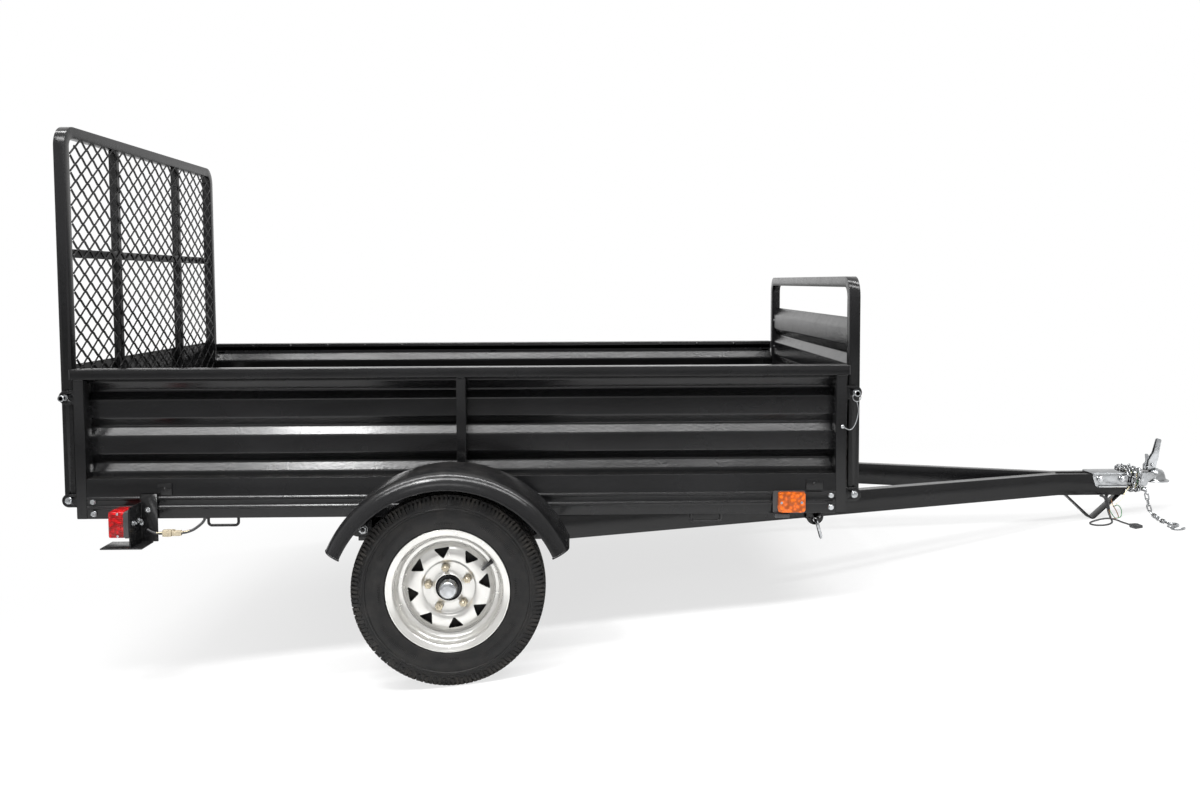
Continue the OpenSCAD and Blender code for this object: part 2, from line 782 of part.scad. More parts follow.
module marker_lamps() color(amber_lens) park() both_sides()
    block([marker_x0, side_y + bead, marker_z0],
        [marker_x0 + marker_length, side_y + bead + 22, marker_z0 + marker_height]);

// ---------------------------------------------------------------- cords

// A point given with the trailer level, in the frame of the parked trailer
function parked(p) = [
    p[0] * cos(park_angle) + (p[2] - axle_z) * sin(park_angle) - origin_x,
    p[1],
    axle_z + (p[2] - axle_z) * cos(park_angle) - p[0] * sin(park_angle)
];

function unit(v) = v / norm(v);
function spline(p0, p1, p2, p3, t) = 0.5 * (2 * p1 + (p2 - p0) * t
    + (2 * p0 - 5 * p1 + 4 * p2 - p3) * t * t + (3 * p1 - p0 - 3 * p2 + p3) * t * t * t);
function smooth(route, steps) = let (last = len(route) - 1) concat(
    [for (i = [0:last - 1]) for (k = [0:steps - 1])
        spline(route[max(i - 1, 0)], route[i], route[i + 1], route[min(i + 2, last)], k / steps)],
    [route[last]]
);
function tangents(path) = let (last = len(path) - 1)
    [for (i = [0:last]) unit(path[min(i + 1, last)] - path[max(i - 1, 0)])];
function normals(dirs, i, previous) = i >= len(dirs) ? [] :
    let (n = unit(previous - (previous * dirs[i]) * dirs[i]))
        concat([n], normals(dirs, i + 1, n));

// Round tube swept along a path, square across it at both ends
module swept_tube(path, radius, sides) {
    dirs = tangents(path);
    side_dirs = normals(dirs, 0, [0.31, 0.87, 0.38]);
    count = len(path);
    rings = [for (i = [0:count - 1]) for (k = [0:sides - 1])
        path[i] + radius * (cos(k * 360 / sides) * side_dirs[i]
            + sin(k * 360 / sides) * cross(dirs[i], side_dirs[i]))];
    walls = [for (i = [0:count - 2]) for (k = [0:sides - 1])
        let (a = i * sides + k, b = i * sides + (k + 1) % sides)
            each [[a, a + sides, b], [b, a + sides, b + sides]]];
    first = [for (k = [0:sides - 1]) k];
    final = [for (k = [sides - 1:-1:0]) (count - 1) * sides + k];
    polyhedron(points = rings, faces = concat([first], walls, [final]), convexity = 8);
}

// The safety chain is wrapped round the coupler, hangs down beside it and ends on the ground
chain_r = 8;
chain_steps = 2;
wrap_r = chain_r + 1.8;
wrap_turns = 3;
wrap_pitch = 20;
wrap_start_x = nose_end + 4;
wrap_corners = [[-1, coupler_top], [1, coupler_top], [1, coupler_low], [-1, coupler_low]];
chain_wrap = [for (turn = [0:wrap_turns - 1]) for (corner = [0:3]) for (part = [0:2])
    let (a = 180 - 90 * corner - 45 * part, step = turn + corner / 4 + part / 24)
        [wrap_start_x + step * wrap_pitch,
            wrap_corners[corner][0] * coupler_half + wrap_r * cos(a),
            wrap_corners[corner][1] + wrap_r * sin(a)]];
chain_fall = [
    [1696, -60, 92], [1697, -65, 70], [1698, -68, 48], [1699, -72, 26], [1700, -82, 12],
    [1700, -98, 8], [1697, -122, 8], [1690, -146, 8], [1686, -170, 8], [1687, -192, 8],
    [1690, -206, 8]
];

module safety_chain() color(zinc)
    swept_tube(smooth(concat([for (p = chain_wrap) parked(p)], chain_fall), chain_steps),
        chain_r, 8);

hook_rod_r = 4.5;
hook_bend = 20;
hook_start = [1690, -211, hook_rod_r];

// S-hook lying flat on the ground
module chain_hook() color(zinc) translate(hook_start) {
    for (bend = [[hook_bend, -hook_bend, 1, 0], [hook_bend, -3 * hook_bend, 1, 1]])
        translate([0, bend[1], 0]) mirror([bend[3], 0, 0]) rotate([0, 0, -90])
            rotate_extrude(angle = 250) translate([hook_bend, 0]) circle(r = hook_rod_r);
}

grommet_x = foot_x + 34;
grommet_y = -(foot_width / 2 + 9);
grommet_height = 5;
cord_r = 3;
cord_route = [
    [1568, -30, 66], [1566, -34, 48], [1564, -44, 28], [1561, -62, 12], [1556, -84, 4],
    [1545, -106, 3], [1527, -122, 3], [1504, -126, 3], [1484, -114, 3], [1476, -92, 3],
    [1485, -71, 3], [1506, -62, 5], [1530, -66, 9], [1550, -78, 11], [1566, -96, 8],
    [1575, -118, 4], [1580, -142, 3], [1583, -166, 3]
];
cord_exit = parked([grommet_x, grommet_y, arm_bottom - grommet_height]);
cord_drop = parked([grommet_x, grommet_y, arm_bottom - grommet_height - 6]);
plug_turn = -83;
plug_start = cord_route[len(cord_route) - 1] + 6 * [cos(plug_turn), sin(plug_turn), 0];

module wiring_grommet() color(dark_plastic) park()
    translate([grommet_x, grommet_y, arm_bottom - grommet_height])
        cylinder(r = 2 * cord_r, h = grommet_height);

module wiring_cord() color(dark_plastic)
    swept_tube(concat([cord_exit], smooth(concat([cord_drop], cord_route), 3), [plug_start]),
        cord_r, 8);

plug_length = 40;
plug_width = 30;
plug_height = 10;

module wiring_plug() color(dark_plastic)
    translate(plug_start) rotate([0, 0, plug_turn])
        translate([0, -plug_width / 2, -cord_r]) cube([plug_length, plug_width, plug_height]);

// Wires from the tail lamps into the lower rails, each with a plug-in connector
wire_r = 4;
connector_size = [54, 14, 22];
wire_y = side_y + bead + bracket_plate + connector_size[1] / 2;
connector_z = bed_bottom - 40;
connector_x = lamp_plate_x + 17;
wire_start = [connector_x + connector_size[0], wire_y, connector_z];
wire_end = [wire_start[0] + 64, wire_y - 22, bed_bottom];
wire_tail = [
    wire_start + [5, 0, 0], wire_start + [18, -1, 3], wire_start + [32, -5, 9],
    wire_start + [46, -11, 18], wire_start + [58, -18, 28], wire_end - [0, 0, 5]
];

module tail_lamp_wires() color(dark_plastic) park() both_sides() {
    swept_tube(concat([wire_start], smooth(wire_tail, 2), [wire_end]), wire_r, 8);
    block([lamp_plate_x, wire_y - wire_r, connector_z - wire_r],
        [connector_x, wire_y + wire_r, connector_z + wire_r]);
}

module wire_connectors() color(beige) park() both_sides()
    translate([connector_x, wire_y - connector_size[1] / 2, connector_z - connector_size[2] / 2])
        cube(connector_size);

// ---------------------------------------------------------------- gates

// Frame of two posts and a top bar, in the plane of Y and Z, in a square section
module gate_hoop(x, top, bottom, inset) {
    half = gate_y - inset;
    size = gate_tube - 2 * inset;
    corner = gate_corner_r - inset;
    x0 = x - size / 2;
    for (side = [-1, 1]) {
        y = side > 0 ? half - size : -half;
        block([x0, y, bottom], [x0 + size, y + size, top - inset - corner]);
    }
    block([x0, -half + corner, top - inset - size], [x0 + size, half - corner, top - inset]);
    both_sides() translate([x0, half - corner, top - inset - corner])
        rotate([90, 0, 90]) rotate_extrude(angle = 90) square_ring(corner, size);
}

module square_ring(outer, size) translate([outer - size, 0]) square([size, size]);

module gate_frame(x, top)
    difference() {
        union() {
            gate_hoop(x, top, hinge_z, 0);
            both_sides() rod_y(gate_tube / 2, gate_y - gate_tube, gate_y, x, hinge_z);
        }
        gate_hoop(x, top, hinge_z + 24, tube_wall);
        both_sides() rod_y(hinge_pin_r + pin_clearance, gate_y - gate_tube - 1, gate_y + 1,
            x, hinge_z);
    }

gate_inner = gate_y - gate_tube;
mesh_thickness = 3;
mesh_x0 = ramp_x + gate_tube / 2 - mesh_thickness;
bar_x0 = mesh_x0 - ramp_bar;
ramp_sill_z0 = hinge_z + 14;
ramp_sill_z1 = ramp_sill_z0 + ramp_bar;

module ramp_frame() color(black_paint) park() gate_frame(ramp_x, ramp_top);

module ramp_bars() color(black_paint) park() {
    top = ramp_top - gate_tube;
    half = ramp_bar / 2;
    for (y = [-ramp_upright_offset, ramp_upright_offset])
        block([bar_x0, y - half, ramp_sill_z1], [mesh_x0, y + half, top]);
    for (z = [ramp_sill_z0, ramp_bar_z - half])
        block([bar_x0, -gate_inner, z], [mesh_x0, gate_inner, z + ramp_bar]);
}

// Plate between the posts, with its top corners rounded to clear the frame's bends
module mesh_outline(z0, z1, corner)
    union() {
        translate([-gate_inner, z0]) square([2 * gate_inner, z1 - z0 - corner]);
        translate([corner - gate_inner, z0]) square([2 * (gate_inner - corner), z1 - z0]);
        for (side = [-1, 1]) translate([side * (gate_inner - corner), z1 - corner])
            circle(r = corner);
    }

// Expanded mesh: one plate with rows of diamond holes, every second row staggered
module ramp_mesh() color(black_paint) park() {
    z0 = ramp_sill_z0;
    z1 = ramp_top - gate_tube;
    cols = floor(2 * gate_inner / mesh_long);
    rows = floor((z1 - z0) / mesh_short);
    long_step = (2 * gate_inner - mesh_strand) / cols;
    short_step = (z1 - z0 - mesh_strand) / rows;
    hole_y = long_step / 2 - mesh_strand;
    hole_z = short_step / 2 - mesh_strand * short_step / long_step;
    centres = concat(
        [for (r = [0:rows - 1]) for (c = [0:cols - 1])
            [(c + 0.5) * long_step, (r + 0.5) * short_step]],
        [for (r = [1:rows - 1]) for (c = [1:cols - 1]) [c * long_step, r * short_step]]
    );
    slab_x(mesh_x0, mesh_x0 + mesh_thickness)
        difference() {
            mesh_outline(z0, z1, gate_corner_r - gate_tube + seat_gap);
            for (c = centres)
                translate([-gate_inner + mesh_strand / 2 + c[0], z0 + mesh_strand / 2 + c[1]])
                    polygon([[-hole_y, 0], [0, -hole_z], [hole_y, 0], [0, hole_z]]);
        }
}

module ramp_lower_panel() color(black_paint) park()
    block([bar_x0 - sheet_thickness, -gate_inner, ramp_sill_z0],
        [bar_x0, gate_inner, rail_top + 8]);

module front_hoop() color(black_paint) park() gate_frame(hoop_x, hoop_top);

module front_panel() color(black_paint) park() {
    line = corrugation(panel_top - 30, hinge_z - 10, panel_top);
    x = hoop_x - groove_depth / 2 + sheet_thickness;
    translate([0, gate_inner, 0]) rotate([90, 0, 0]) linear_extrude(2 * gate_inner)
        translate([x - sheet_thickness, 0]) corrugated_outline(line, sheet_thickness);
}

// ---------------------------------------------------------------- wheels

module tyre() {
    r = tyre_d / 2;
    half = tyre_width / 2;
    bead_r = rim_d / 2 - 17;
    bead_half = rim_width / 2 - 8;
    shoulder = 22;
    wall = 9;
    translate([0, wheel_y, axle_z]) rotate([-90, 0, 0]) rotate_extrude($fn = 96)
        difference() {
            polygon([
                [bead_r, -bead_half], [bead_r + 45, -half], [r - shoulder - 12, -half],
                [r - 6, -half + 12], [r, -half + shoulder], [r, half - shoulder],
                [r - 6, half - 12], [r - shoulder - 12, half], [bead_r + 45, half],
                [bead_r, bead_half]
            ]);
            polygon([
                [bead_r - 1, -bead_half + wall + 6], [bead_r + 45, -half + wall],
                [r - shoulder - 14, -half + wall], [r - 14, -half + 28], [r - 14, half - 28],
                [r - shoulder - 14, half - wall], [bead_r + 45, half - wall],
                [bead_r - 1, bead_half - wall - 6]
            ]);
        }
}

module tyre_right() color(rubber) park() on_side(-1) tyre();
module tyre_left() color(rubber) park() on_side(1) tyre();

disc_y = 6;
disc_thickness = 5;
drop_r = rim_d / 2 - 38;
hub_pilot_r = 36;
vent_count = 8;
vent_r = 98;

module rim() {
    flange = rim_d / 2;
    half = rim_width / 2;
    seat = flange - 17;
    inner_seat = seat - 5;
    inner_drop = drop_r - 4;
    disc_top = disc_y + disc_thickness;
    translate([0, wheel_y, axle_z]) rotate([-90, 0, 0])
        difference() {
            rotate_extrude($fn = 96) polygon([
                [flange, -half], [flange, -half + 3], [seat - seat_gap, -half + 8],
                [seat - seat_gap, -half + 24], [drop_r, -half + 34], [drop_r, half - 34],
                [seat - seat_gap, half - 24], [seat - seat_gap, half - 8], [flange, half - 3],
                [flange, half], [inner_seat, half - 5], [inner_seat, half - 22],
                [inner_drop, half - 32], [inner_drop, disc_top], [hub_pilot_r, disc_top],
                [hub_pilot_r, disc_y], [inner_drop, disc_y], [inner_drop, -half + 32],
                [inner_seat, -half + 22], [inner_seat, -half + 5]
            ]);
            for (i = [0:stud_count - 1]) rotate([0, 0, 90 + i * 360 / stud_count])
                translate([stud_circle_d / 2, 0, disc_y - 1])
                    cylinder(r = stud_r + 0.8, h = disc_thickness + 2);
            for (i = [0:vent_count - 1]) rotate([0, 0, i * 360 / vent_count])
                translate([vent_r, 0, disc_y - 1])
                    cylinder(r = 17, h = disc_thickness + 2, $fn = 3);
        }
}

module rim_right() color(wheel_grey) park() on_side(-1) rim();
module rim_left() color(wheel_grey) park() on_side(1) rim();

module hub() {
    translate([0, wheel_y, axle_z]) rotate([-90, 0, 0])
        difference() {
            union() {
                translate([0, 0, disc_y - 10]) cylinder(r = 70, h = 10);
                translate([0, 0, -56]) cylinder(r = 33, h = 56 + disc_y);
                cylinder(r = 34, h = disc_y + 14);
                translate([0, 0, disc_y + 14]) cylinder(r = 26, h = 34);
                for (i = [0:stud_count - 1]) rotate([0, 0, 90 + i * 360 / stud_count])
                    translate([stud_circle_d / 2, 0, 0]) {
                        cylinder(r = stud_r, h = disc_y + disc_thickness + 22);
                        translate([0, 0, disc_y + disc_thickness])
                            cylinder(r = 11, h = 17, $fn = 6);
                    }
            }
            translate([0, 0, -57])
                cylinder(r = spindle_r + hub_bore_clearance, h = 57 + spindle_end - wheel_y + 2);
        }
}

module hub_right() color(zinc) park() on_side(-1) hub();
module hub_left() color(zinc) park() on_side(1) hub();

// ---------------------------------------------------------------- nodes

drawbar_arm_right();
drawbar_arm_left();
drawbar_cross_tubes();
coupler();
coupler_latch();
parking_foot();
tilt_pivot_pins();
axle();
spring_hangers();
leaf_spring_right();
leaf_spring_left();
fender_right();
fender_left();
fender_stays();
lower_rail_right();
lower_rail_left();
end_sills();
cross_members();
floor_panel();
side_panel_right();
side_panel_left();
top_rail_right();
top_rail_left();
corner_posts();
centre_posts();
tie_down_loops();
tilt_ears();
lock_ears();
lock_pins();
gate_hinge_ears();
gate_pins();
tail_lamps();
tail_lamp_brackets();
tail_lamp_wires();
wire_connectors();
marker_lamps();
safety_chain();
chain_hook();
wiring_grommet();
wiring_cord();
wiring_plug();
ramp_frame();
ramp_bars();
ramp_mesh();
ramp_lower_panel();
front_hoop();
front_panel();
tyre_right();
tyre_left();
rim_right();
rim_left();
hub_right();
hub_left();
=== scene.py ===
import json
import math

import bmesh
import bpy
from mathutils import Matrix, Vector


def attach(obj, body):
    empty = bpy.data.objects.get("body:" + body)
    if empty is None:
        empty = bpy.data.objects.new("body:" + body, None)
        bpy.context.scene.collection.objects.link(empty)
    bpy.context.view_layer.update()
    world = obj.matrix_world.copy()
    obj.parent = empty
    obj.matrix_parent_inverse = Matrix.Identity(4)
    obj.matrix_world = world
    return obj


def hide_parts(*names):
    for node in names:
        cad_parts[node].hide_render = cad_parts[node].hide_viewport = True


bl_info = {
    "name": "Tilting Utility Trailer",
    "version": (1, 0, 0),
    "blender": (4, 5, 0),
    "location": "3D View > Sidebar > Trailer",
    "description": "Paint, sheet metal, wheels, hardware and lamps of a single-axle trailer",
    "category": "Object",
}

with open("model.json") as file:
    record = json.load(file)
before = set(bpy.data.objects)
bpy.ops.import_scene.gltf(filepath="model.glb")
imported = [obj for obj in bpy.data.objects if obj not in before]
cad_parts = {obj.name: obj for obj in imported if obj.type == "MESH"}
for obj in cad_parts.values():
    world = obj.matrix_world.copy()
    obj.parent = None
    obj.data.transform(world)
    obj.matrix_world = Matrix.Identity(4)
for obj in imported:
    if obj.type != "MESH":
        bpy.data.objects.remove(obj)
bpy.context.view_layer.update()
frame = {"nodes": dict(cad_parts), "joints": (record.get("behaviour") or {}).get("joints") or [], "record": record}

TAU = 2 * math.pi
BOTH = (-1, 1)
WHEELS = (("right", -1), ("left", 1))


# ------------------------------------------------------------------ places

def joint(name):
    return next(j for j in frame["joints"] if j["name"] == name)


def mount(name):
    return next(m for m in frame["record"]["mounts"] if m["name"] == name)


def wheel_centre(side):
    return Vector((0, side * WHEEL_Y, AXLE_Z))


def around(angle):
    """Direction square to the axle, with the angle up from the front."""
    return Vector((math.cos(angle), 0, math.sin(angle)))


# Pieces are made with the trailer level and X = 0 over its axle, then parked nose-down
WHEEL = Vector(joint("wheel_right_spin")["pos_m"])
FLOOR_UP = Vector(mount("bed_floor")["axis"])
PARKED = (
    Matrix.Translation((WHEEL.x, 0, WHEEL.z))
    @ Matrix.Rotation(math.atan2(FLOOR_UP.x, FLOOR_UP.z), 4, "Y")
    @ Matrix.Translation((0, 0, -WHEEL.z))
)
LEVEL = PARKED.inverted()


def level_box(node):
    """Lowest and highest corner of a CAD node with the trailer level."""
    points = [LEVEL @ vertex.co for vertex in frame["nodes"][node].data.vertices]
    return (
        Vector(min(p[i] for p in points) for i in range(3)),
        Vector(max(p[i] for p in points) for i in range(3)),
    )


RAIL = level_box("top_rail_left")
LOWER_RAIL = level_box("lower_rail_left")
FLOOR = level_box("floor_panel")
ARM = level_box("drawbar_arm_left")
RAMP = level_box("ramp_frame")
RAMP_MESH = level_box("ramp_mesh")
RAMP_BARS = level_box("ramp_bars")
HOOP = level_box("front_hoop")
FRONT_PANEL = level_box("front_panel")
EARS = level_box("gate_hinge_ears")

BED_REAR, PANEL_Y, RAIL_BOTTOM = RAIL[0]
BED_FRONT, SIDE_Y, RAIL_TOP = RAIL[1]
BED_BOTTOM, LOWER_TOP = LOWER_RAIL[0].z, LOWER_RAIL[1].z
BEAD_Y = LOWER_RAIL[1].y
ARM_BOTTOM, ARM_TOP, NOSE_END = ARM[0].z, ARM[1].z, ARM[1].x
AXLE_Z = WHEEL.z
WHEEL_Y = -WHEEL.y
GATE_Y = RAMP[1].y
RAMP_X = (RAMP[0].x + RAMP[1].x) / 2
HOOP_X = (HOOP[0].x + HOOP[1].x) / 2
HINGE_Z = EARS[0].z + 0.020
LATCH_Z = EARS[1].z - 0.020
SOCKET = LEVEL @ Vector(mount("ball_socket")["pos_m"])


# ------------------------------------------------------------------ sizes and colours

def length(name, description, default):
    return bpy.props.FloatProperty(
        name=name, description=description, default=default, min=0.0, unit="LENGTH"
    )


def count(name, description, default):
    return bpy.props.IntProperty(name=name, description=description, default=default, min=1)


def factor(name, description, default):
    return bpy.props.FloatProperty(
        name=name, description=description, default=default, min=0.0, max=1.0, subtype="FACTOR"
    )


def colour(name, description, default):
    return bpy.props.FloatVectorProperty(
        name=name, description=description, default=default, size=3, min=0.0, max=1.0,
        subtype="COLOR",
    )


class TrailerPaint(bpy.types.PropertyGroup):
    black: colour("Black", "Colour of the powder coat", (0.0045, 0.0045, 0.0048))
    dust: colour("Dust", "Colour of the dust on upward faces", (0.16, 0.15, 0.135))
    dust_amount: factor("Dust amount", "Share of dust on upward faces", 0.05)
    gloss: factor("Roughness", "Roughness of the powder coat", 0.17)
    zinc: colour("Zinc", "Colour of the zinc plating", (0.34, 0.35, 0.36))
    nut: colour("Yellow zinc", "Colour of the lug nuts' plating", (0.46, 0.41, 0.31))
    wheel: colour("Wheel", "Colour of the wheel enamel", (0.50, 0.495, 0.475))
    rubber: colour("Rubber", "Colour of the tyres", (0.007, 0.007, 0.0072))
    red: colour("Red", "Colour of the tail lamp lenses", (0.46, 0.005, 0.007))
    amber: colour("Amber", "Colour of the marker lamp lenses", (0.76, 0.14, 0.004))
    plastic: colour("Black plastic", "Colour of the plug and the sleeves", (0.022, 0.022, 0.023))
    beige: colour("Beige plastic", "Colour of the wire connectors", (0.36, 0.31, 0.22))
    cream: colour("Cream wire", "Colour of the pale wires", (0.66, 0.60, 0.42))


class TrailerPanels(bpy.types.PropertyGroup):
    pitch: length("Crest pitch", "Height from one crest to the next", 0.107)
    flat: length("Crest flat", "Flat height of a crest", 0.052)
    groove: length("Groove flat", "Flat height of a groove", 0.006)
    depth: length("Groove depth", "Depth of the grooves", 0.017)
    sheet: length("Sheet", "Thickness of the sheet", 0.002)
    bend: length("Bend radius", "Radius of the bends, at the crests and the grooves", 0.009)
    bend_steps: count("Bend steps", "Facets along each bend", 6)


class TrailerMesh(bpy.types.PropertyGroup):
    long_way: length("Long way", "Long diagonal of a diamond", 0.0785)
    short_way: length("Short way", "Short diagonal of a diamond", 0.050)
    strand: length("Strand", "Width of a strand", 0.0062)
    thickness: length("Thickness", "Thickness of a strand", 0.0028)
    bond: length("Bond", "Length of the joint between two strands", 0.012)


class TrailerWheel(bpy.types.PropertyGroup):
    radius: length("Tyre radius", "Radius over the tread", 0.267)
    groove_depth: length("Tread depth", "Depth of the tread grooves", 0.007)
    ribs: count("Ribs", "Ribs of the tread", 5)
    blocks: count("Blocks", "Blocks around each rib", 72)
    lugs: count("Shoulder lugs", "Lugs around each shoulder", 132)
    vents: count("Vents", "Triangular vents of the disc", 8)
    vent_angle: bpy.props.FloatProperty(
        name="Vent angle", description="Turn of the first vent from the front",
        default=math.radians(9.5), subtype="ANGLE",
    )
    studs: count("Studs", "Studs of the wheel", 5)
    stud_radius: length("Stud circle", "Radius of the circle of studs", 0.05715)


class TrailerChain(bpy.types.PropertyGroup):
    wire: length("Wire", "Thickness of the links' wire", 0.0052)
    link_length: length("Link length", "Length over a link", 0.0305)
    link_width: length("Link width", "Width over a link", 0.0172)
    cord: length("Lamp cord", "Diameter of the lamp cord", 0.006)


class TrailerStudio(bpy.types.PropertyGroup):
    fill: factor("Fill", "Strength of the soft light from all round", 0.32)
    strip: bpy.props.FloatProperty(
        name="Strips", description="Radiance of the overhead strip lamps", default=20.0, min=0.0,
        subtype="UNSIGNED",
    )
    floor: factor("Floor", "Paleness of the floor", 0.93)


SETTINGS = {
    "trailer_paint": TrailerPaint, "trailer_panels": TrailerPanels, "trailer_mesh": TrailerMesh,
    "trailer_wheel": TrailerWheel, "trailer_chain": TrailerChain, "trailer_studio": TrailerStudio,
}


# ------------------------------------------------------------------ shapes

def circle(radius, sides):
    return [(radius * math.cos(TAU * k / sides), radius * math.sin(TAU * k / sides))
            for k in range(sides)]


def arc(centre, radius, start, end, steps):
    """Points on an arc in a plane, with angles in degrees."""
    angles = [math.radians(start + (end - start) * k / steps) for k in range(steps + 1)]
    return [(centre[0] + radius * math.cos(a), centre[1] + radius * math.sin(a)) for a in angles]


def placed(outline, across, up):
    return [(across + a, up + b) for a, b in outline]


def rounded(outline, radius, steps=4, closed=True):
    """Outline whose corners are replaced by arcs; radius may be one number per corner."""
    points = [Vector(p) for p in outline]
    result = []
    for i, corner in enumerate(points):
        if not closed and i in (0, len(points) - 1):
            result.append(corner)
            continue
        r = radius[i] if isinstance(radius, (list, tuple)) else radius
        back = points[i - 1] - corner
        ahead = points[(i + 1) % len(points)] - corner
        if r <= 0:
            result.append(corner)
            continue
        half = back.angle(ahead) / 2
        reach = min(r / math.tan(half), back.length * 0.49, ahead.length * 0.49)
        r = reach * math.tan(half)
        middle = corner + (back.normalized() + ahead.normalized()).normalized() * r / math.sin(half)
        first = corner + back.normalized() * reach - middle
        last = corner + ahead.normalized() * reach - middle
        turn = first.angle(last)
        for k in range(steps + 1):
            t = k / steps
            blend = (first * math.sin((1 - t) * turn) + last * math.sin(t * turn)) / math.sin(turn)
            result.append(middle + blend)
    return result


def offset_line(line, distance):
    """Open line moved sideways, square to its direction at each point."""
    moved = []
    for i, point in enumerate(line):
        ahead = Vector(line[min(i + 1, len(line) - 1)]) - Vector(line[max(i - 1, 0)])
        moved.append(Vector(point) + Vector((-ahead.y, ahead.x)).normalized() * distance)
    return moved


def smooth_path(points, steps):
    """Smooth curve through the points, in the way that the CAD draws its cords."""
    points = [Vector(p) for p in points]
    last = len(points) - 1
    result = []
    for i in range(last):
        p0, p1 = points[max(i - 1, 0)], points[i]
        p2, p3 = points[i + 1], points[min(i + 2, last)]
        for k in range(steps):
            t = k / steps
            result.append(0.5 * (2 * p1 + (p2 - p0) * t + (2 * p0 - 5 * p1 + 4 * p2 - p3) * t * t
                                 + (3 * p1 - p0 - 3 * p2 + p3) * t ** 3))
    return result + [points[last]]


def even_path(points, step):
    """Points a step apart along a path."""
    result, carried = [points[0].copy()], 0.0
    for a, b in zip(points, points[1:]):
        span = (b - a).length
        at = step - carried
        while at <= span:
            result.append(a.lerp(b, at / span))
            at += step
        carried = (carried + span) % step if span else carried
    return result


def axis_frame(axis):
    """Two directions square to an axis, and the axis."""
    along = Vector(axis).normalized()
    if abs(along.y) > 0.9:
        first = Vector((1, 0, 0))
    elif abs(along.x) > 0.9:
        first = Vector((0, 1, 0))
    else:
        first = Vector((1, 0, 0)) if abs(along.z) > 0.9 else along.cross((0, 0, 1))
    first = (first - along * first.dot(along)).normalized()
    second = first.cross(along) if abs(along.y) > 0.9 and along.y > 0 else along.cross(first)
    return first, second, along


def round_edges(bm, edges, width, steps):
    bmesh.ops.bevel(bm, geom=list(edges), offset=width, offset_type="OFFSET", segments=steps,
                    profile=0.5, affect="EDGES", clamp_overlap=True)


def put_box(bm, low, high, edge=0.0, steps=2):
    """Box from its lowest corner to its highest, with rounded edges."""
    low, high = Vector(low), Vector(high)
    size, middle = high - low, (high + low) / 2
    new = bmesh.ops.create_cube(bm, size=1.0)["verts"]
    for v in new:
        v.co = middle + Vector(v.co[i] * size[i] for i in range(3))
    if edge:
        round_edges(bm, {e for v in new for e in v.link_edges}, edge, steps)


def put_sweep(bm, path, section, closed=False, normal=(0, 0, 1), scales=None):
    """Section of (across, beside) points carried along a path."""
    path = [Vector(p) for p in path]
    total = len(path)
    across = Vector(normal)
    rings = []
    for i, point in enumerate(path):
        if closed:
            ahead = path[(i + 1) % total] - path[i - 1]
        else:
            ahead = path[min(i + 1, total - 1)] - path[max(i - 1, 0)]
        ahead.normalize()
        flat = across - ahead * across.dot(ahead)
        if flat.length < 1e-4:
            flat = ahead.orthogonal()
        across = flat.normalized()
        beside = ahead.cross(across)
        grow = scales[i] if scales else 1.0
        rings.append([bm.verts.new(point + (across * x + beside * y) * grow) for x, y in section])
    sides = len(section)
    for i in range(total if closed else total - 1):
        a, b = rings[i], rings[(i + 1) % total]
        for k in range(sides):
            bm.faces.new((a[k], a[(k + 1) % sides], b[(k + 1) % sides], b[k]))
    if not closed:
        bm.faces.new(rings[0][::-1])
        bm.faces.new(rings[-1])


def put_rod(bm, path, radius, sides=12, closed=False, normal=(0, 0, 1), scales=None):
    put_sweep(bm, path, circle(radius, sides), closed, normal, scales)


def put_lathe(bm, profile, centre, axis=(0, 1, 0), steps=48, start=0.0, sweep=TAU, loop=False):
    """Profile of (along, radius) points turned about an axis."""
    first, second, along = axis_frame(axis)
    centre = Vector(centre)
    whole = abs(sweep - TAU) < 1e-6
    stations = steps if whole else steps + 1
    rings, new = [], []
    for k in range(stations):
        a = start + sweep * k / steps
        out = first * math.cos(a) + second * math.sin(a)
        ring = [bm.verts.new(centre + along * t + out * r) for t, r in profile]
        rings.append(ring)
        new += ring
    size = len(profile)
    for k in range(steps):
        a, b = rings[k], rings[(k + 1) % stations]
        for i in range(size if loop else size - 1):
            j = (i + 1) % size
            bm.faces.new((a[i], a[j], b[j], b[i]))
    if loop and not whole:
        bm.faces.new(rings[0])
        bm.faces.new(rings[-1][::-1])
    if any(r < 1e-7 for t, r in profile):
        bmesh.ops.remove_doubles(bm, verts=new, dist=1e-7)


def put_prism(bm, outline, axis, low, high, edge=0.0, steps=2):
    """Outline across one axis, drawn out along it; (y, z), (x, z) or (x, y) points."""
    place = {
        "X": lambda p, t: Vector((t, p[0], p[1])),
        "Y": lambda p, t: Vector((p[0], t, p[1])),
        "Z": lambda p, t: Vector((p[0], p[1], t)),
    }[axis]
    first = [bm.verts.new(place(p, low)) for p in outline]
    second = [bm.verts.new(place(p, high)) for p in outline]
    ends = [bm.faces.new(first), bm.faces.new(second[::-1])]
    for i in range(len(outline)):
        j = (i + 1) % len(outline)
        bm.faces.new((first[i], second[i], second[j], first[j]))
    if edge:
        round_edges(bm, {e for f in ends for e in f.edges}, edge, steps)


def put_sheet(bm, line, thickness, low, high, place, cuts=1):
    """Bent sheet: an open line drawn out between two ends."""
    outer = [Vector(p) for p in line]
    inner = offset_line(outer, thickness)
    ring = outer + inner[::-1]
    rows = [[bm.verts.new(place(p, low + (high - low) * k / cuts)) for p in ring]
            for k in range(cuts + 1)]
    size = len(ring)
    for a, b in zip(rows, rows[1:]):
        for i in range(size):
            bm.faces.new((a[i], a[(i + 1) % size], b[(i + 1) % size], b[i]))
    half = size // 2
    for row in (rows[0], rows[-1]):
        for i in range(half - 1):
            bm.faces.new((row[i], row[i + 1], row[size - 2 - i], row[size - 1 - i]))


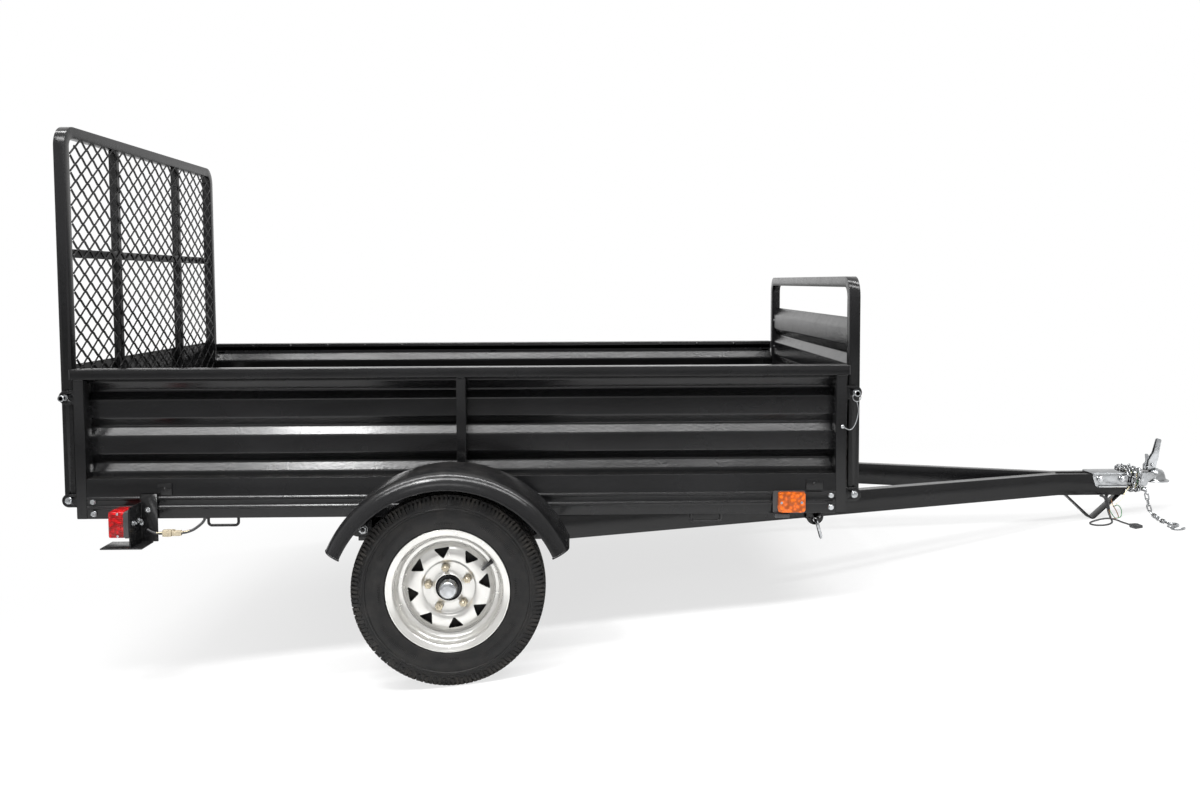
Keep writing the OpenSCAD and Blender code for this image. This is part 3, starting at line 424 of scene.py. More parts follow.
def put_bolt(bm, at, out, size=0.005, stud=0.0):
    """Hexagon head or nut over a washer; size is the thread's radius, stud what stands out."""
    put_lathe(bm, [(-0.001, 0), (-0.001, size * 2.1), (size * 0.22, size * 2.1),
                   (size * 0.32, size * 2.0), (size * 0.32, 0)], at, out, 20)
    base = size * 0.3
    height = base + size * 1.15
    put_lathe(bm, [(base - 0.0005, 0), (base - 0.0005, size * 1.82), (height * 0.86, size * 1.82),
                   (height, size * 1.5), (height, 0)], at, out, 6, start=0.3)
    if stud:
        put_lathe(bm, [(height - 0.001, 0), (height - 0.001, size), (height + stud - size * 0.2, size),
                       (height + stud, size * 0.75), (height + stud, 0)], at, out, 16)


def put_rivet(bm, at, out, size=0.006):
    put_lathe(bm, [(-0.001, 0), (-0.001, size), (size * 0.12, size), (size * 0.38, size * 0.72),
                   (size * 0.5, size * 0.3), (size * 0.38, size * 0.16), (size * 0.38, 0)],
              at, out, 16)


def put_weld(bm, start, end, size=0.0035):
    """Weld bead: a rod with the ripples that a torch leaves."""
    start, end = Vector(start), Vector(end)
    ripple = 0.006
    steps = max(4, int((end - start).length / ripple) * 2)
    path = [start.lerp(end, k / steps) for k in range(steps + 1)]
    scales = [0.82 + 0.18 * (k % 2) for k in range(steps + 1)]
    scales[0] = scales[-1] = 0.45
    put_rod(bm, path, size, 8, scales=scales)


def put_ring(bm, centre, axis, radius, wire, steps=32):
    first, second, _ = axis_frame(axis)
    path = [Vector(centre) + (first * math.cos(TAU * k / steps) + second * math.sin(TAU * k / steps))
            * radius for k in range(steps)]
    put_rod(bm, path, wire, 8, closed=True, normal=axis)


def add_mirror(bm):
    """The same on the other side of the trailer."""
    source = bm.verts[:] + bm.edges[:] + bm.faces[:]
    copies = bmesh.ops.duplicate(bm, geom=source)["geom"]
    for item in copies:
        if isinstance(item, bmesh.types.BMVert):
            item.co.y = -item.co.y
    bmesh.ops.reverse_faces(bm, faces=[i for i in copies if isinstance(i, bmesh.types.BMFace)])


# ------------------------------------------------------------------ pieces

def make_piece(name, bm, body, slot, replaces=(), look=None, mirror=False, smooth=32, level=True):
    """Mesh made level or, with level False, in the parked frame; its look is its slot's or another."""
    if mirror:
        add_mirror(bm)
    bmesh.ops.recalc_face_normals(bm, faces=bm.faces[:])
    mesh = bpy.data.meshes.new(name)
    bm.to_mesh(mesh)
    bm.free()
    if level:
        mesh.transform(PARKED)
    mesh.materials.append(finish(look or slot))
    mesh.polygons.foreach_set("use_smooth", [True] * len(mesh.polygons))
    mesh.set_sharp_from_angle(angle=math.radians(smooth))
    piece = bpy.data.objects.new(name, mesh)
    bpy.context.scene.collection.objects.link(piece)
    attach(piece, body)
    if replaces:
        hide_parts(*replaces)
    return piece


def dress(node, edge, look="black_paint", angle=35):
    """Gives a CAD node that stays its finish and its rounded edges."""
    item = frame["nodes"][node]
    item.data.materials.clear()
    item.data.materials.append(finish(look))
    if edge:
        weld = item.modifiers.new("Weld", "WELD")
        weld.merge_threshold = 0.00002
        rounding = item.modifiers.new("Rounded edges", "BEVEL")
        rounding.width = edge
        rounding.segments = 3
        rounding.limit_method = "ANGLE"
        rounding.angle_limit = math.radians(angle)
        rounding.harden_normals = True
    item.data.polygons.foreach_set("use_smooth", [True] * len(item.data.polygons))


# ------------------------------------------------------------------ finishes

FINISHES = {}


class Nodes:
    """Short way to write a node tree, for a finish or for the world."""

    def __init__(self, name, owner=None):
        self.material = owner or bpy.data.materials.new(name)
        self.material.use_nodes = True
        self.tree = self.material.node_tree
        if not owner:
            self.shader = self.tree.nodes["Principled BSDF"]
            self.place = self.new("ShaderNodeTexCoord").outputs["Object"]

    def new(self, kind, **values):
        item = self.tree.nodes.new(kind)
        for key, value in values.items():
            setattr(item, key, value)
        return item

    def join(self, source, target):
        self.tree.links.new(source, target)

    def noise(self, scale, detail=3.0, roughness=0.55, stretch=None):
        item = self.new("ShaderNodeTexNoise")
        item.inputs["Scale"].default_value = scale
        item.inputs["Detail"].default_value = detail
        item.inputs["Roughness"].default_value = roughness
        source = self.place
        if stretch:
            mapping = self.new("ShaderNodeMapping")
            mapping.inputs["Scale"].default_value = stretch
            self.join(source, mapping.inputs["Vector"])
            source = mapping.outputs["Vector"]
        self.join(source, item.inputs["Vector"])
        return item.outputs["Fac"]

    def cells(self, scale, feature="F1"):
        item = self.new("ShaderNodeTexVoronoi", feature=feature)
        item.inputs["Scale"].default_value = scale
        self.join(self.place, item.inputs["Vector"])
        return item

    def spread(self, source, low, high, to_low=0.0, to_high=1.0, curve="LINEAR"):
        item = self.new("ShaderNodeMapRange", interpolation_type=curve)
        for key, value in (("From Min", low), ("From Max", high), ("To Min", to_low),
                           ("To Max", to_high)):
            item.inputs[key].default_value = value
        self.join(source, item.inputs["Value"])
        return item.outputs["Result"]

    def combine(self, operation, a, b):
        item = self.new("ShaderNodeMath", operation=operation)
        for slot, value in zip(item.inputs, (a, b)):
            if isinstance(value, (int, float)):
                slot.default_value = value
            else:
                self.join(value, slot)
        return item.outputs["Value"]

    def times(self, a, b):
        return self.combine("MULTIPLY", a, b)

    def blend(self, share, low, high):
        item = self.new("ShaderNodeMix", data_type="RGBA")
        self.join(share, item.inputs["Factor"])
        for name, value in (("A", low), ("B", high)):
            slot = next(s for s in item.inputs if s.name == name and s.type == "RGBA")
            if isinstance(value, (tuple, list)):
                slot.default_value = (*value, 1.0)
            else:
                self.join(value, slot)
        return next(s for s in item.outputs if s.type == "RGBA")

    def facing_up(self):
        """0 on sides and undersides, 1 on upward faces."""
        split = self.new("ShaderNodeSeparateXYZ")
        self.join(self.new("ShaderNodeNewGeometry").outputs["Normal"], split.inputs["Vector"])
        return self.spread(split.outputs["Z"], 0.55, 1.0)

    def edges(self, low=0.52, high=0.62):
        """1 where an edge stands proud; the finishes pale such edges, as wear and as a painted highlight."""
        return self.spread(self.new("ShaderNodeNewGeometry").outputs["Pointiness"], low, high)

    def bump(self, height, strength, distance, onto=None):
        item = self.new("ShaderNodeBump")
        item.inputs["Strength"].default_value = strength
        item.inputs["Distance"].default_value = distance
        self.join(height, item.inputs["Height"])
        if onto:
            self.join(onto, item.inputs["Normal"])
        return item.outputs["Normal"]

    def finish(self, base=None, roughness=None, normal=None, **values):
        for name, value in (("Base Color", base), ("Roughness", roughness), ("Normal", normal)):
            if value is not None:
                self.join(value, self.shader.inputs[name])
        for key, value in values.items():
            self.shader.inputs[key.replace("_", " ")].default_value = value
        return self.material


def lighter(shade, amount):
    return tuple(min(1.0, c * amount) for c in shade)


def powder_coat(paint):
    """Glossy black powder coat with orange peel, dust on top, and proud edges paled as thin wear and as a painted
    highlight.
    """
    n = Nodes("black powder coat")
    cloudy = n.noise(3.5, 4.0)
    base = n.blend(n.spread(cloudy, 0.35, 0.7), tuple(paint.black), lighter(paint.black, 1.8))
    film = n.spread(n.noise(18.0, 6.0, 0.65), 0.38, 0.78, 0.0, paint.dust_amount * 2)
    base = n.blend(n.times(n.facing_up(), film), base, tuple(paint.dust))
    # Paler patches on proud edges: partly wear, partly painted highlight.
    edge_wear_and_highlight = n.spread(n.noise(60.0, 2.0), 0.5, 0.75, 0.0, 0.35)
    base = n.blend(n.times(n.edges(0.56, 0.72), edge_wear_and_highlight), base, (0.10, 0.10, 0.10))
    streaks = n.noise(40.0, 4.0, 0.6, stretch=(0.15, 1.0, 1.0))
    rough = n.spread(streaks, 0.3, 0.75, paint.gloss * 0.8, paint.gloss * 1.45)
    peel = n.bump(n.noise(120.0, 4.0, 0.62), 0.30, 0.0012)
    waves = n.bump(n.noise(9.0, 2.0), 0.16, 0.004, peel)
    return n.finish(base, rough, waves, Specular_IOR_Level=0.25)


def zinc_plate(paint):
    """Zinc plating: cloudy spangles, with painted shade in hollows and a painted highlight on edges."""
    n = Nodes("zinc plate")
    spangle = n.cells(60.0)
    shade = n.blend(n.spread(spangle.outputs["Distance"], 0.0, 0.7), lighter(paint.zinc, 1.15),
                    lighter(paint.zinc, 0.82))
    grime = n.spread(n.noise(16.0, 3.0, 0.5), 0.45, 0.75, 0.0, 0.55)
    shade = n.blend(grime, shade, (0.10, 0.096, 0.088))
    # Painted shade: near black wherever ambient occlusion finds a hollow.
    hollow_shade = n.new("ShaderNodeAmbientOcclusion", samples=6)
    hollow_shade.inputs["Distance"].default_value = 0.012
    shade = n.blend(n.spread(hollow_shade.outputs["AO"], 0.35, 0.95), (0.030, 0.029, 0.027), shade)
    # Painted highlight: paler along proud edges.
    shade = n.blend(n.times(n.edges(), 0.35), shade, (0.74, 0.76, 0.78))
    rough = n.spread(n.noise(60.0, 3.0), 0.3, 0.75, 0.14, 0.30)
    return n.finish(shade, rough, n.bump(n.noise(200.0, 2.0), 0.04, 0.0003), Metallic=1.0)


def yellow_zinc(paint):
    """Yellow zinc of the lug nuts, worn in patches."""
    n = Nodes("yellow zinc")
    worn = n.spread(n.noise(120.0, 3.0), 0.35, 0.7)
    shade = n.blend(worn, tuple(paint.nut), (0.20, 0.175, 0.135))
    rough = n.spread(n.noise(200.0, 3.0), 0.3, 0.7, 0.22, 0.42)
    return n.finish(shade, rough, n.bump(n.noise(500.0, 2.0), 0.12, 0.0004), Metallic=1.0)


def wheel_enamel(paint):
    """Pale wheel enamel with a thin road film and specks of brake dust."""
    n = Nodes("wheel enamel")
    film = n.spread(n.noise(22.0, 6.0, 0.62), 0.4, 0.8, 0.0, 0.25)
    shade = n.blend(film, tuple(paint.wheel), lighter(paint.wheel, 0.75))
    specks = n.spread(n.noise(240.0, 3.0), 0.64, 0.76, 0.0, 0.35)
    shade = n.blend(specks, shade, (0.30, 0.28, 0.25))
    rough = n.spread(n.noise(35.0, 4.0), 0.3, 0.75, 0.14, 0.3)
    peel = n.bump(n.noise(300.0, 2.0), 0.08, 0.0005)
    return n.finish(shade, rough, peel, Metallic=0.65, Coat_Weight=0.25, Coat_Roughness=0.08)


def tyre_rubber(paint, name="tyre rubber", dusty=0.16, rough_low=0.28, rough_high=0.5):
    """Rubber: semi-gloss where clean, with brown dust in patches."""
    n = Nodes(name)
    dust = n.spread(n.noise(26.0, 7.0, 0.7), 0.42, 0.82, 0.0, dusty)
    shade = n.blend(dust, tuple(paint.rubber), (0.075, 0.066, 0.056))
    specks = n.spread(n.noise(380.0, 2.0), 0.6, 0.78, 0.0, 0.3)
    shade = n.blend(specks, shade, (0.055, 0.052, 0.049))
    rough = n.spread(n.noise(32.0, 5.0, 0.6), 0.3, 0.75, rough_low, rough_high)
    grain = n.bump(n.noise(650.0, 3.0), 0.22, 0.0006)
    return n.finish(shade, rough, n.bump(n.noise(90.0, 3.0), 0.25, 0.001, grain),
                    Specular_IOR_Level=0.18)


def lens(name, shade):
    """Moulded lens: a pattern of prisms in the coloured plastic, and a little dust."""
    n = Nodes(name)
    prisms = n.cells(95.0, "SMOOTH_F1")
    depth = n.spread(prisms.outputs["Distance"], 0.15, 0.55)
    base = n.blend(depth, lighter(shade, 1.1), lighter(shade, 0.38))
    dust = n.spread(n.noise(60.0, 5.0, 0.65), 0.55, 0.82, 0.0, 0.12)
    base = n.blend(dust, base, (0.42, 0.36, 0.30))
    rough = n.spread(n.noise(70.0, 3.0), 0.3, 0.7, 0.07, 0.2)
    return n.finish(base, rough, n.bump(prisms.outputs["Distance"], 0.22, 0.0010),
                    Specular_IOR_Level=0.3)


def plastic(name, shade, rough_at=0.42):
    """Moulded plastic with a fine grain and paler marks from handling."""
    n = Nodes(name)
    marks = n.spread(n.noise(55.0, 6.0, 0.66), 0.45, 0.8)
    base = n.blend(marks, tuple(shade), lighter(shade, 1.5))
    rough = n.spread(n.noise(80.0, 3.0), 0.3, 0.7, rough_at * 0.8, rough_at * 1.3)
    return n.finish(base, rough, n.bump(n.noise(900.0, 2.0), 0.2, 0.0004))


def floor_paint(paint):
    """Bed floor: the same coat, scuffed by loads and dusty."""
    n = Nodes("scuffed black coat")
    scuffs = n.noise(30.0, 6.0, 0.7, stretch=(0.12, 1.0, 1.0))
    worn = n.spread(scuffs, 0.5, 0.78, 0.0, 0.5)
    shade = n.blend(worn, tuple(paint.black), (0.075, 0.072, 0.066))
    dust = n.spread(n.noise(6.0, 7.0, 0.65), 0.42, 0.72, 0.0, 0.45)
    shade = n.blend(dust, shade, (0.13, 0.12, 0.105))
    rough = n.spread(scuffs, 0.35, 0.75, 0.28, 0.55)
    peel = n.bump(n.noise(240.0, 3.0), 0.16, 0.0008)
    return n.finish(shade, rough, peel, Specular_IOR_Level=0.3)


def finish(name):
    """One material per finish, made when it is first asked for."""
    if name not in FINISHES:
        paint = bpy.context.scene.trailer_paint
        makers = {
            "black_paint": powder_coat,
            "zinc_plate": zinc_plate,
            "yellow_zinc": yellow_zinc,
            "wheel_grey": wheel_enamel,
            "tyre_rubber": tyre_rubber,
            "tread_rubber": lambda p: tyre_rubber(p, "tread rubber", 0.5, 0.5, 0.75),
            "red_lens": lambda p: lens("red lens", tuple(p.red)),
            "amber_lens": lambda p: lens("amber lens", tuple(p.amber)),
            "black_plastic": lambda p: plastic("black plastic", tuple(p.plastic)),
            "beige_plastic": lambda p: plastic("beige plastic", tuple(p.beige), 0.5),
            "cream_wire": lambda p: plastic("cream wire", tuple(p.cream), 0.45),
            "brown_wire": lambda p: plastic("brown wire", (0.16, 0.075, 0.03), 0.45),
            "green_wire": lambda p: plastic("green wire", (0.10, 0.22, 0.12), 0.45),
            "floor_paint": floor_paint,
        }
        FINISHES[name] = makers[name](paint)
    return FINISHES[name]


# ------------------------------------------------------------------ camera, cord and chain

class TRAILER_OT_camera(bpy.types.Operator):
    """Camera square to the near side, a little above the bed, with the bed level in its view"""
    bl_idname = "trailer.camera"
    bl_label = "Camera"

    def execute(self, context):
        yaw, pitch, roll = -0.0197, -0.0628, 0.0045
        axes = Matrix.Rotation(yaw, 4, "Z") @ Matrix.Rotation(pitch, 4, "X") @ Matrix.Rotation(roll, 4, "Y")
        look = Matrix((axes.col[0][:3], axes.col[2][:3], [-c for c in axes.col[1][:3]]))
        place = look.transposed().to_4x4()
        place.translation = (0.34944, -3.92474, 1.10780)
        data = bpy.data.cameras.new("camera")
        data.sensor_width = 36.0
        data.lens = 33.21
        data.shift_x = 0.00326
        data.shift_y = -0.04095
        data.clip_end = 200.0
        camera = bpy.data.objects.new("camera", data)
        camera.matrix_world = PARKED @ place
        context.scene.collection.objects.link(camera)
        context.scene.camera = camera
        return {"FINISHED"}


# Route of the lamp cord in the parked frame: out of its grommet, down, and along the ground
CORD_EXIT = (1.5703, -0.029, 0.08179)
CORD_DROP = (1.56964, -0.029, 0.07583)
CORD_ROUTE = [
    (1.568, -0.030, 0.066), (1.566, -0.034, 0.048), (1.564, -0.044, 0.028),
    (1.561, -0.062, 0.012), (1.556, -0.084, 0.004), (1.545, -0.106, 0.003),
    (1.527, -0.122, 0.003), (1.504, -0.126, 0.003), (1.484, -0.114, 0.003),
    (1.476, -0.092, 0.003), (1.485, -0.071, 0.003), (1.506, -0.062, 0.005),
    (1.530, -0.066, 0.009), (1.550, -0.078, 0.011), (1.566, -0.096, 0.008),
    (1.575, -0.118, 0.004), (1.580, -0.142, 0.003), (1.583, -0.166, 0.003),
]
PLUG_TURN = math.radians(-83)
PLUG_AT = Vector(CORD_ROUTE[-1]) + 0.006 * Vector((math.cos(PLUG_TURN), math.sin(PLUG_TURN), 0))


class TRAILER_OT_lamp_cord(bpy.types.Operator):
    """Lamp cord from its grommet under the drawbar to its flat plug on the ground"""
    bl_idname = "trailer.lamp_cord"
    bl_label = "Lamp cord"

    def execute(self, context):
        chain = context.scene.trailer_chain
        path = [Vector(CORD_EXIT)] + smooth_path([CORD_DROP] + CORD_ROUTE, 6) + [PLUG_AT]
        data = bpy.data.curves.new("lamp_cord", "CURVE")
        data.dimensions = "3D"
        data.bevel_depth = chain.cord / 2
        data.bevel_resolution = 4
        data.use_fill_caps = True
        line = data.splines.new("POLY")
        line.points.add(len(path) - 1)
        for point, place in zip(line.points, path):
            point.co = (*place, 1.0)
        line.use_smooth = True
        data.materials.append(finish("black_plastic"))
        cord = bpy.data.objects.new("lamp_cord", data)
        context.scene.collection.objects.link(cord)
        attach(cord, "chassis")
        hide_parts("wiring_cord")

        bm = bmesh.new()
        outline = rounded([(0, -0.007), (0.006, -0.015), (0.040, -0.015), (0.040, 0.015),
                           (0.006, 0.015), (0, 0.007)], 0.004, 4)
        put_prism(bm, outline, "Z", 0.0, 0.010, 0.002)
        rib = 0.004
        for k in range(5):
            x = 0.012 + rib * k
            put_box(bm, (x, -0.0125, 0.0095), (x + rib / 2, 0.0125, 0.0104), 0.0003)
        for k in range(3):
            x = -0.012 + rib * k
            put_box(bm, (x, -0.0045, 0.0005), (x + 0.0025, 0.0045, 0.0075), 0.001)
        ground = Matrix.Translation((PLUG_AT.x, PLUG_AT.y, 0)) @ Matrix.Rotation(PLUG_TURN, 4, "Z")
        bmesh.ops.transform(bm, verts=bm.verts[:], matrix=ground)
        plug = make_piece("lamp_plug", bm, "chassis", "black_plastic", ("wiring_plug",), level=False)
        bm = bmesh.new()
        top, down = Vector(CORD_EXIT), (Vector(CORD_DROP) - Vector(CORD_EXIT)).normalized()
        radius = chain.cord / 2
        put_lathe(bm, [(-0.005, radius * 0.9), (-0.005, 0.006), (-0.0035, 0.0065), (0, 0.0062),
                       (0.002, 0.0048), (0.011, 0.0036), (0.011, radius * 1.02)], top, down, 32, loop=True)
        relief = make_piece("cord_grommet", bm, "chassis", "black_plastic", ("wiring_grommet",), level=False)
        return {"FINISHED"}


# The chain's fall from the coupler to the ground, in the parked frame
CHAIN_FALL = [
    (1.696, -0.060, 0.092), (1.697, -0.065, 0.070), (1.698, -0.068, 0.048),
    (1.699, -0.072, 0.026), (1.700, -0.082, 0.012), (1.700, -0.098, 0.008),
    (1.697, -0.122, 0.008), (1.690, -0.146, 0.008), (1.686, -0.170, 0.008),
    (1.687, -0.192, 0.008), (1.690, -0.206, 0.008),
]
WRAP_HALF, WRAP_TOP, WRAP_LOW = 0.042, ARM_TOP + 0.004, ARM_TOP - 0.048


def wrap_path(reach, start_x, pitch, turns, first_turn=0.0):
    """Winding round the square coupler, in the parked frame."""
    corners = [(-1, WRAP_TOP), (1, WRAP_TOP), (1, WRAP_LOW), (-1, WRAP_LOW)]
    points = []
    for turn in range(turns):
        for corner, (side, z) in enumerate(corners):
            for part in range(3):
                a = math.radians(180 - 90 * corner - 45 * part)
                step = turn + corner / 4 + part / 24 + first_turn
                points.append(PARKED @ Vector((start_x + step * pitch,
                                               side * WRAP_HALF + reach * math.cos(a),
                                               z + reach * math.sin(a))))
    return points


class TRAILER_OT_safety_chain(bpy.types.Operator):
    """Safety chain wound round the coupler, with its S-hook on the ground"""
    bl_idname = "trailer.safety_chain"
    bl_label = "Safety chain"

    def execute(self, context):
        sizes = context.scene.trailer_chain
        path = wrap_path(0.0098, NOSE_END + 0.004, 0.020, 3) + [Vector(p) for p in CHAIN_FALL]
        path = smooth_path(path, 6)
        inner = sizes.link_length - 2 * sizes.wire
        centres = even_path(path, inner + 0.0003)
        bm = bmesh.new()
        half = (sizes.link_length - sizes.wire) / 2
        wide = (sizes.link_width - sizes.wire) / 2
        straight = half - wide
        shape = arc((straight, 0), wide, -90, 90, 8) + arc((-straight, 0), wide, 90, 270, 8)
        across = Vector((0.31, 0.87, 0.38))
        for i, middle in enumerate(centres):
            ahead = (centres[min(i + 1, len(centres) - 1)] - centres[max(i - 1, 0)]).normalized()
            across = (across - ahead * across.dot(ahead)).normalized()
            beside = ahead.cross(across)
            angle = math.radians(45 if i % 2 else -45)
            side = across * math.cos(angle) + beside * math.sin(angle)
            flat = ahead.cross(side)
            put_rod(bm, [middle + ahead * x + side * y for x, y in shape], sizes.wire / 2, 8,
                    closed=True, normal=flat)
        for v in bm.verts:
            v.co.z = max(v.co.z, 0.0003)
        make_piece("chain_links", bm, "chassis", "zinc_plate", ("safety_chain",), smooth=60, level=False)

        bm = bmesh.new()
        rod, bend = 0.0045, 0.020
        hook_x, hook_y = 1.690, -0.211
        flat = (arc((hook_x, hook_y - bend), bend, -160, 90, 25)
                + arc((hook_x, hook_y - 3 * bend), bend, 90, 340, 25)[1:])
        line = [Vector((x, y, rod)) for x, y in flat]
        scales = [min(1.0, 0.55 + 0.15 * min(i, len(line) - 1 - i)) for i in range(len(line))]
        put_rod(bm, line, rod, 12, scales=scales)
        make_piece("s_hook", bm, "chassis", "zinc_plate", ("chain_hook",), smooth=60, level=False)
        return {"FINISHED"}


# ------------------------------------------------------------------ drawbar

class TRAILER_OT_drawbar(bpy.types.Operator):
    """Drawbar arms, cross tubes and parking foot, with their welds"""
    bl_idname = "trailer.drawbar"
    bl_label = "Drawbar"

    def execute(self, context):
        for node in ("drawbar_arm_right", "drawbar_arm_left", "drawbar_cross_tubes"):
            dress(node, 0.004)
        dress("parking_foot", 0.0012)
        tubes = level_box("drawbar_cross_tubes")
        foot = level_box("parking_foot")
        bm = bmesh.new()
        tube, meet_x = 0.038, 2.082
        inner = ARM[1].y - tube
        for x in (tubes[0].x, tubes[1].x):
            put_weld(bm, (x, inner - 0.001, tubes[0].z + 0.003), (x, inner - 0.001, tubes[1].z - 0.003))
        for x in (foot[0].x + 0.004, foot[1].x - 0.004):
            put_weld(bm, (x, -0.019, ARM_BOTTOM - 0.001), (x, 0.019, ARM_BOTTOM - 0.001), 0.003)
        make_piece("drawbar_side_welds", bm, "chassis", "black_paint", mirror=True)
        bm = bmesh.new()
        for z, end_x in ((ARM_TOP + 0.0002, NOSE_END - 0.112), (ARM_BOTTOM - 0.0002, 2.11)):
            put_weld(bm, (meet_x, 0, z), (end_x, 0, z), 0.0032)
        make_piece("drawbar_nose_weld", bm, "chassis", "black_paint")
        return {"FINISHED"}


class TRAILER_OT_coupler(bpy.types.Operator):
    """Pressed coupler with its bolts, its ball socket and its latch"""
    bl_idname = "trailer.coupler"
    bl_label = "Coupler"

    def execute(self, context):
        rear, neck = NOSE_END - 0.108, NOSE_END + 0.066
        socket_x, lip_z = SOCKET.x, SOCKET.z
        half, wall = WRAP_HALF, 0.004
        bm = bmesh.new()
        # Channel over the nose: two cheeks with a rolled lower edge, and the top plate
        cheek = rounded([(rear, WRAP_LOW), (neck + 0.012, WRAP_LOW + 0.004), (neck + 0.012, WRAP_TOP),
                         (rear - 0.012, WRAP_TOP), (rear - 0.012, ARM_TOP - 0.014)],
                        [0.014, 0.010, 0.002, 0.004, 0.008], 5)
        put_prism(bm, cheek, "Y", half - wall, half, 0.0012)
        put_prism(bm, cheek, "Y", -half + wall, -half, 0.0012)
        top = rounded([(rear - 0.016, -half + 0.004), (rear - 0.016, half - 0.004), (neck, half),
                       (neck + 0.030, 0.032), (neck + 0.030, -0.032), (neck, -half)], 0.004, 3)
        put_prism(bm, top, "Z", WRAP_TOP - wall, WRAP_TOP + 0.0004, 0.0012)
        for side in BOTH:
            for x, y, z, radius in ((rear + 0.008, half + 0.001, WRAP_LOW + 0.003, 0.0034),
                                    (rear - 0.010, half - 0.001, WRAP_TOP - 0.0025, 0.0030)):
                put_rod(bm, [(x, side * y, z), (NOSE_END + 0.001, side * y, z)], radius, 10)
        put_box(bm, (neck - 0.004, -half + 0.003, WRAP_LOW + 0.004), (neck, half - 0.003, WRAP_TOP), 0.001)
        make_piece("coupler_channel", bm, "chassis", "zinc_plate")

        # Ball housing: a pressed dome over the socket with a flared lip, open below
        bm = bmesh.new()
        r = mount("ball_socket")["dims"]["r_mm"] / 1000
        profile = [(0, r + 0.0006), (0.018, r + 0.0006), (0.026, 0.0232), (0.034, 0.0165),
                   (0.0385, 0.008), (0.040, 0.0)]
        outer = [(0.0435, 0.0), (0.0430, 0.012), (0.0400, 0.0215), (0.0330, 0.0275), (0.022, 0.0315),
                 (0.011, 0.0335), (0.007, 0.0365), (0.0052, 0.0415), (0.0052, 0.0440),
                 (0.0030, 0.0455), (0.0, 0.0450), (-0.0002, 0.0400), (-0.0002, 0.0310)]
        put_lathe(bm, profile + outer + [(0, r + 0.0006)], (socket_x, 0, lip_z), (0, 0, 1), 64)
        saddle = rounded([(neck - 0.006, lip_z + 0.004), (socket_x - 0.020, lip_z + 0.004),
                          (socket_x - 0.010, lip_z + 0.034), (neck + 0.006, WRAP_TOP - 0.001),
                          (neck - 0.006, WRAP_TOP - 0.001)], [0.002, 0.002, 0.012, 0.006, 0.002], 5)
        put_prism(bm, saddle, "Y", -0.0285, -0.0245, 0.001)
        put_prism(bm, saddle, "Y", 0.0245, 0.0285, 0.001)
        put_box(bm, (neck - 0.002, -0.030, WRAP_TOP - 0.006),
                (socket_x - 0.012, 0.030, WRAP_TOP - 0.002), 0.002)
        make_piece("ball_housing", bm, "chassis", "zinc_plate", ("coupler",))

        # Latch: two lever plates, the trigger between them, its pivot and its spring
        bm = bmesh.new()
        dome = WRAP_TOP + 0.0025
        lever = [(-0.034, 0), (-0.006, -0.001), (0.004, 0.040), (0.0155, 0.112), (0.001, 0.115),
                 (-0.012, 0.064), (-0.030, 0.036)]
        web = [(-0.004, 0.060), (0.004, 0.058), (0.0145, 0.109), (0.0025, 0.111)]
        trigger = [(-0.046, 0), (-0.024, 0), (-0.022, 0.034), (-0.030, 0.058), (-0.040, 0.060),
                   (-0.036, 0.030), (-0.046, 0.022)]
        lever = rounded(placed(lever, socket_x, dome), [0.003, 0.006, 0.012, 0.006, 0.006, 0.014, 0.008])
        web = rounded(placed(web, socket_x, dome), 0.003)
        trigger = rounded(placed(trigger, socket_x, dome), [0.003, 0.002, 0.006, 0.004, 0.004, 0.008, 0.004])
        for side in BOTH:
            put_prism(bm, lever, "Y", side * 0.0050, side * 0.0078, 0.0007)
        put_prism(bm, web, "Y", -0.005, 0.005, 0.0006)
        put_prism(bm, trigger, "Y", -0.0035, 0.0035, 0.0008)
        put_lathe(bm, [(-0.012, 0), (-0.012, 0.0050), (-0.0095, 0.0062), (-0.008, 0.0040), (0.008, 0.0040),
                       (0.0095, 0.0062), (0.012, 0.0050), (0.012, 0)],
                  (socket_x - 0.016, 0, dome + 0.020), (0, 1, 0), 24)
        for side in BOTH:
            coil = [Vector((x, side * (0.0052 + 0.0018 * k / 12), z))
                    for k, (x, z) in enumerate(arc((socket_x - 0.036, dome + 0.018), 0.0050, 0, 1080, 36))]
            put_rod(bm, coil, 0.0009, 6, normal=(0, 1, 0))
        make_piece("coupler_lever", bm, "chassis", "zinc_plate", ("coupler_latch",))

        bm = bmesh.new()
        for x, z, size in ((rear + 0.013, ARM_TOP - 0.018, 0.0062), (rear + 0.093, ARM_TOP - 0.018, 0.0062),
                           (neck - 0.014, ARM_TOP - 0.020, 0.0055)):
            put_bolt(bm, (x, -half, z), (0, -1, 0), size, stud=0.004)
            put_bolt(bm, (x, half, z), (0, 1, 0), size)
        put_bolt(bm, (socket_x, 0, dome - 0.0005), (0, 0, 1), 0.0050)
        make_piece("coupler_bolts", bm, "chassis", "zinc_plate")
        return {"FINISHED"}


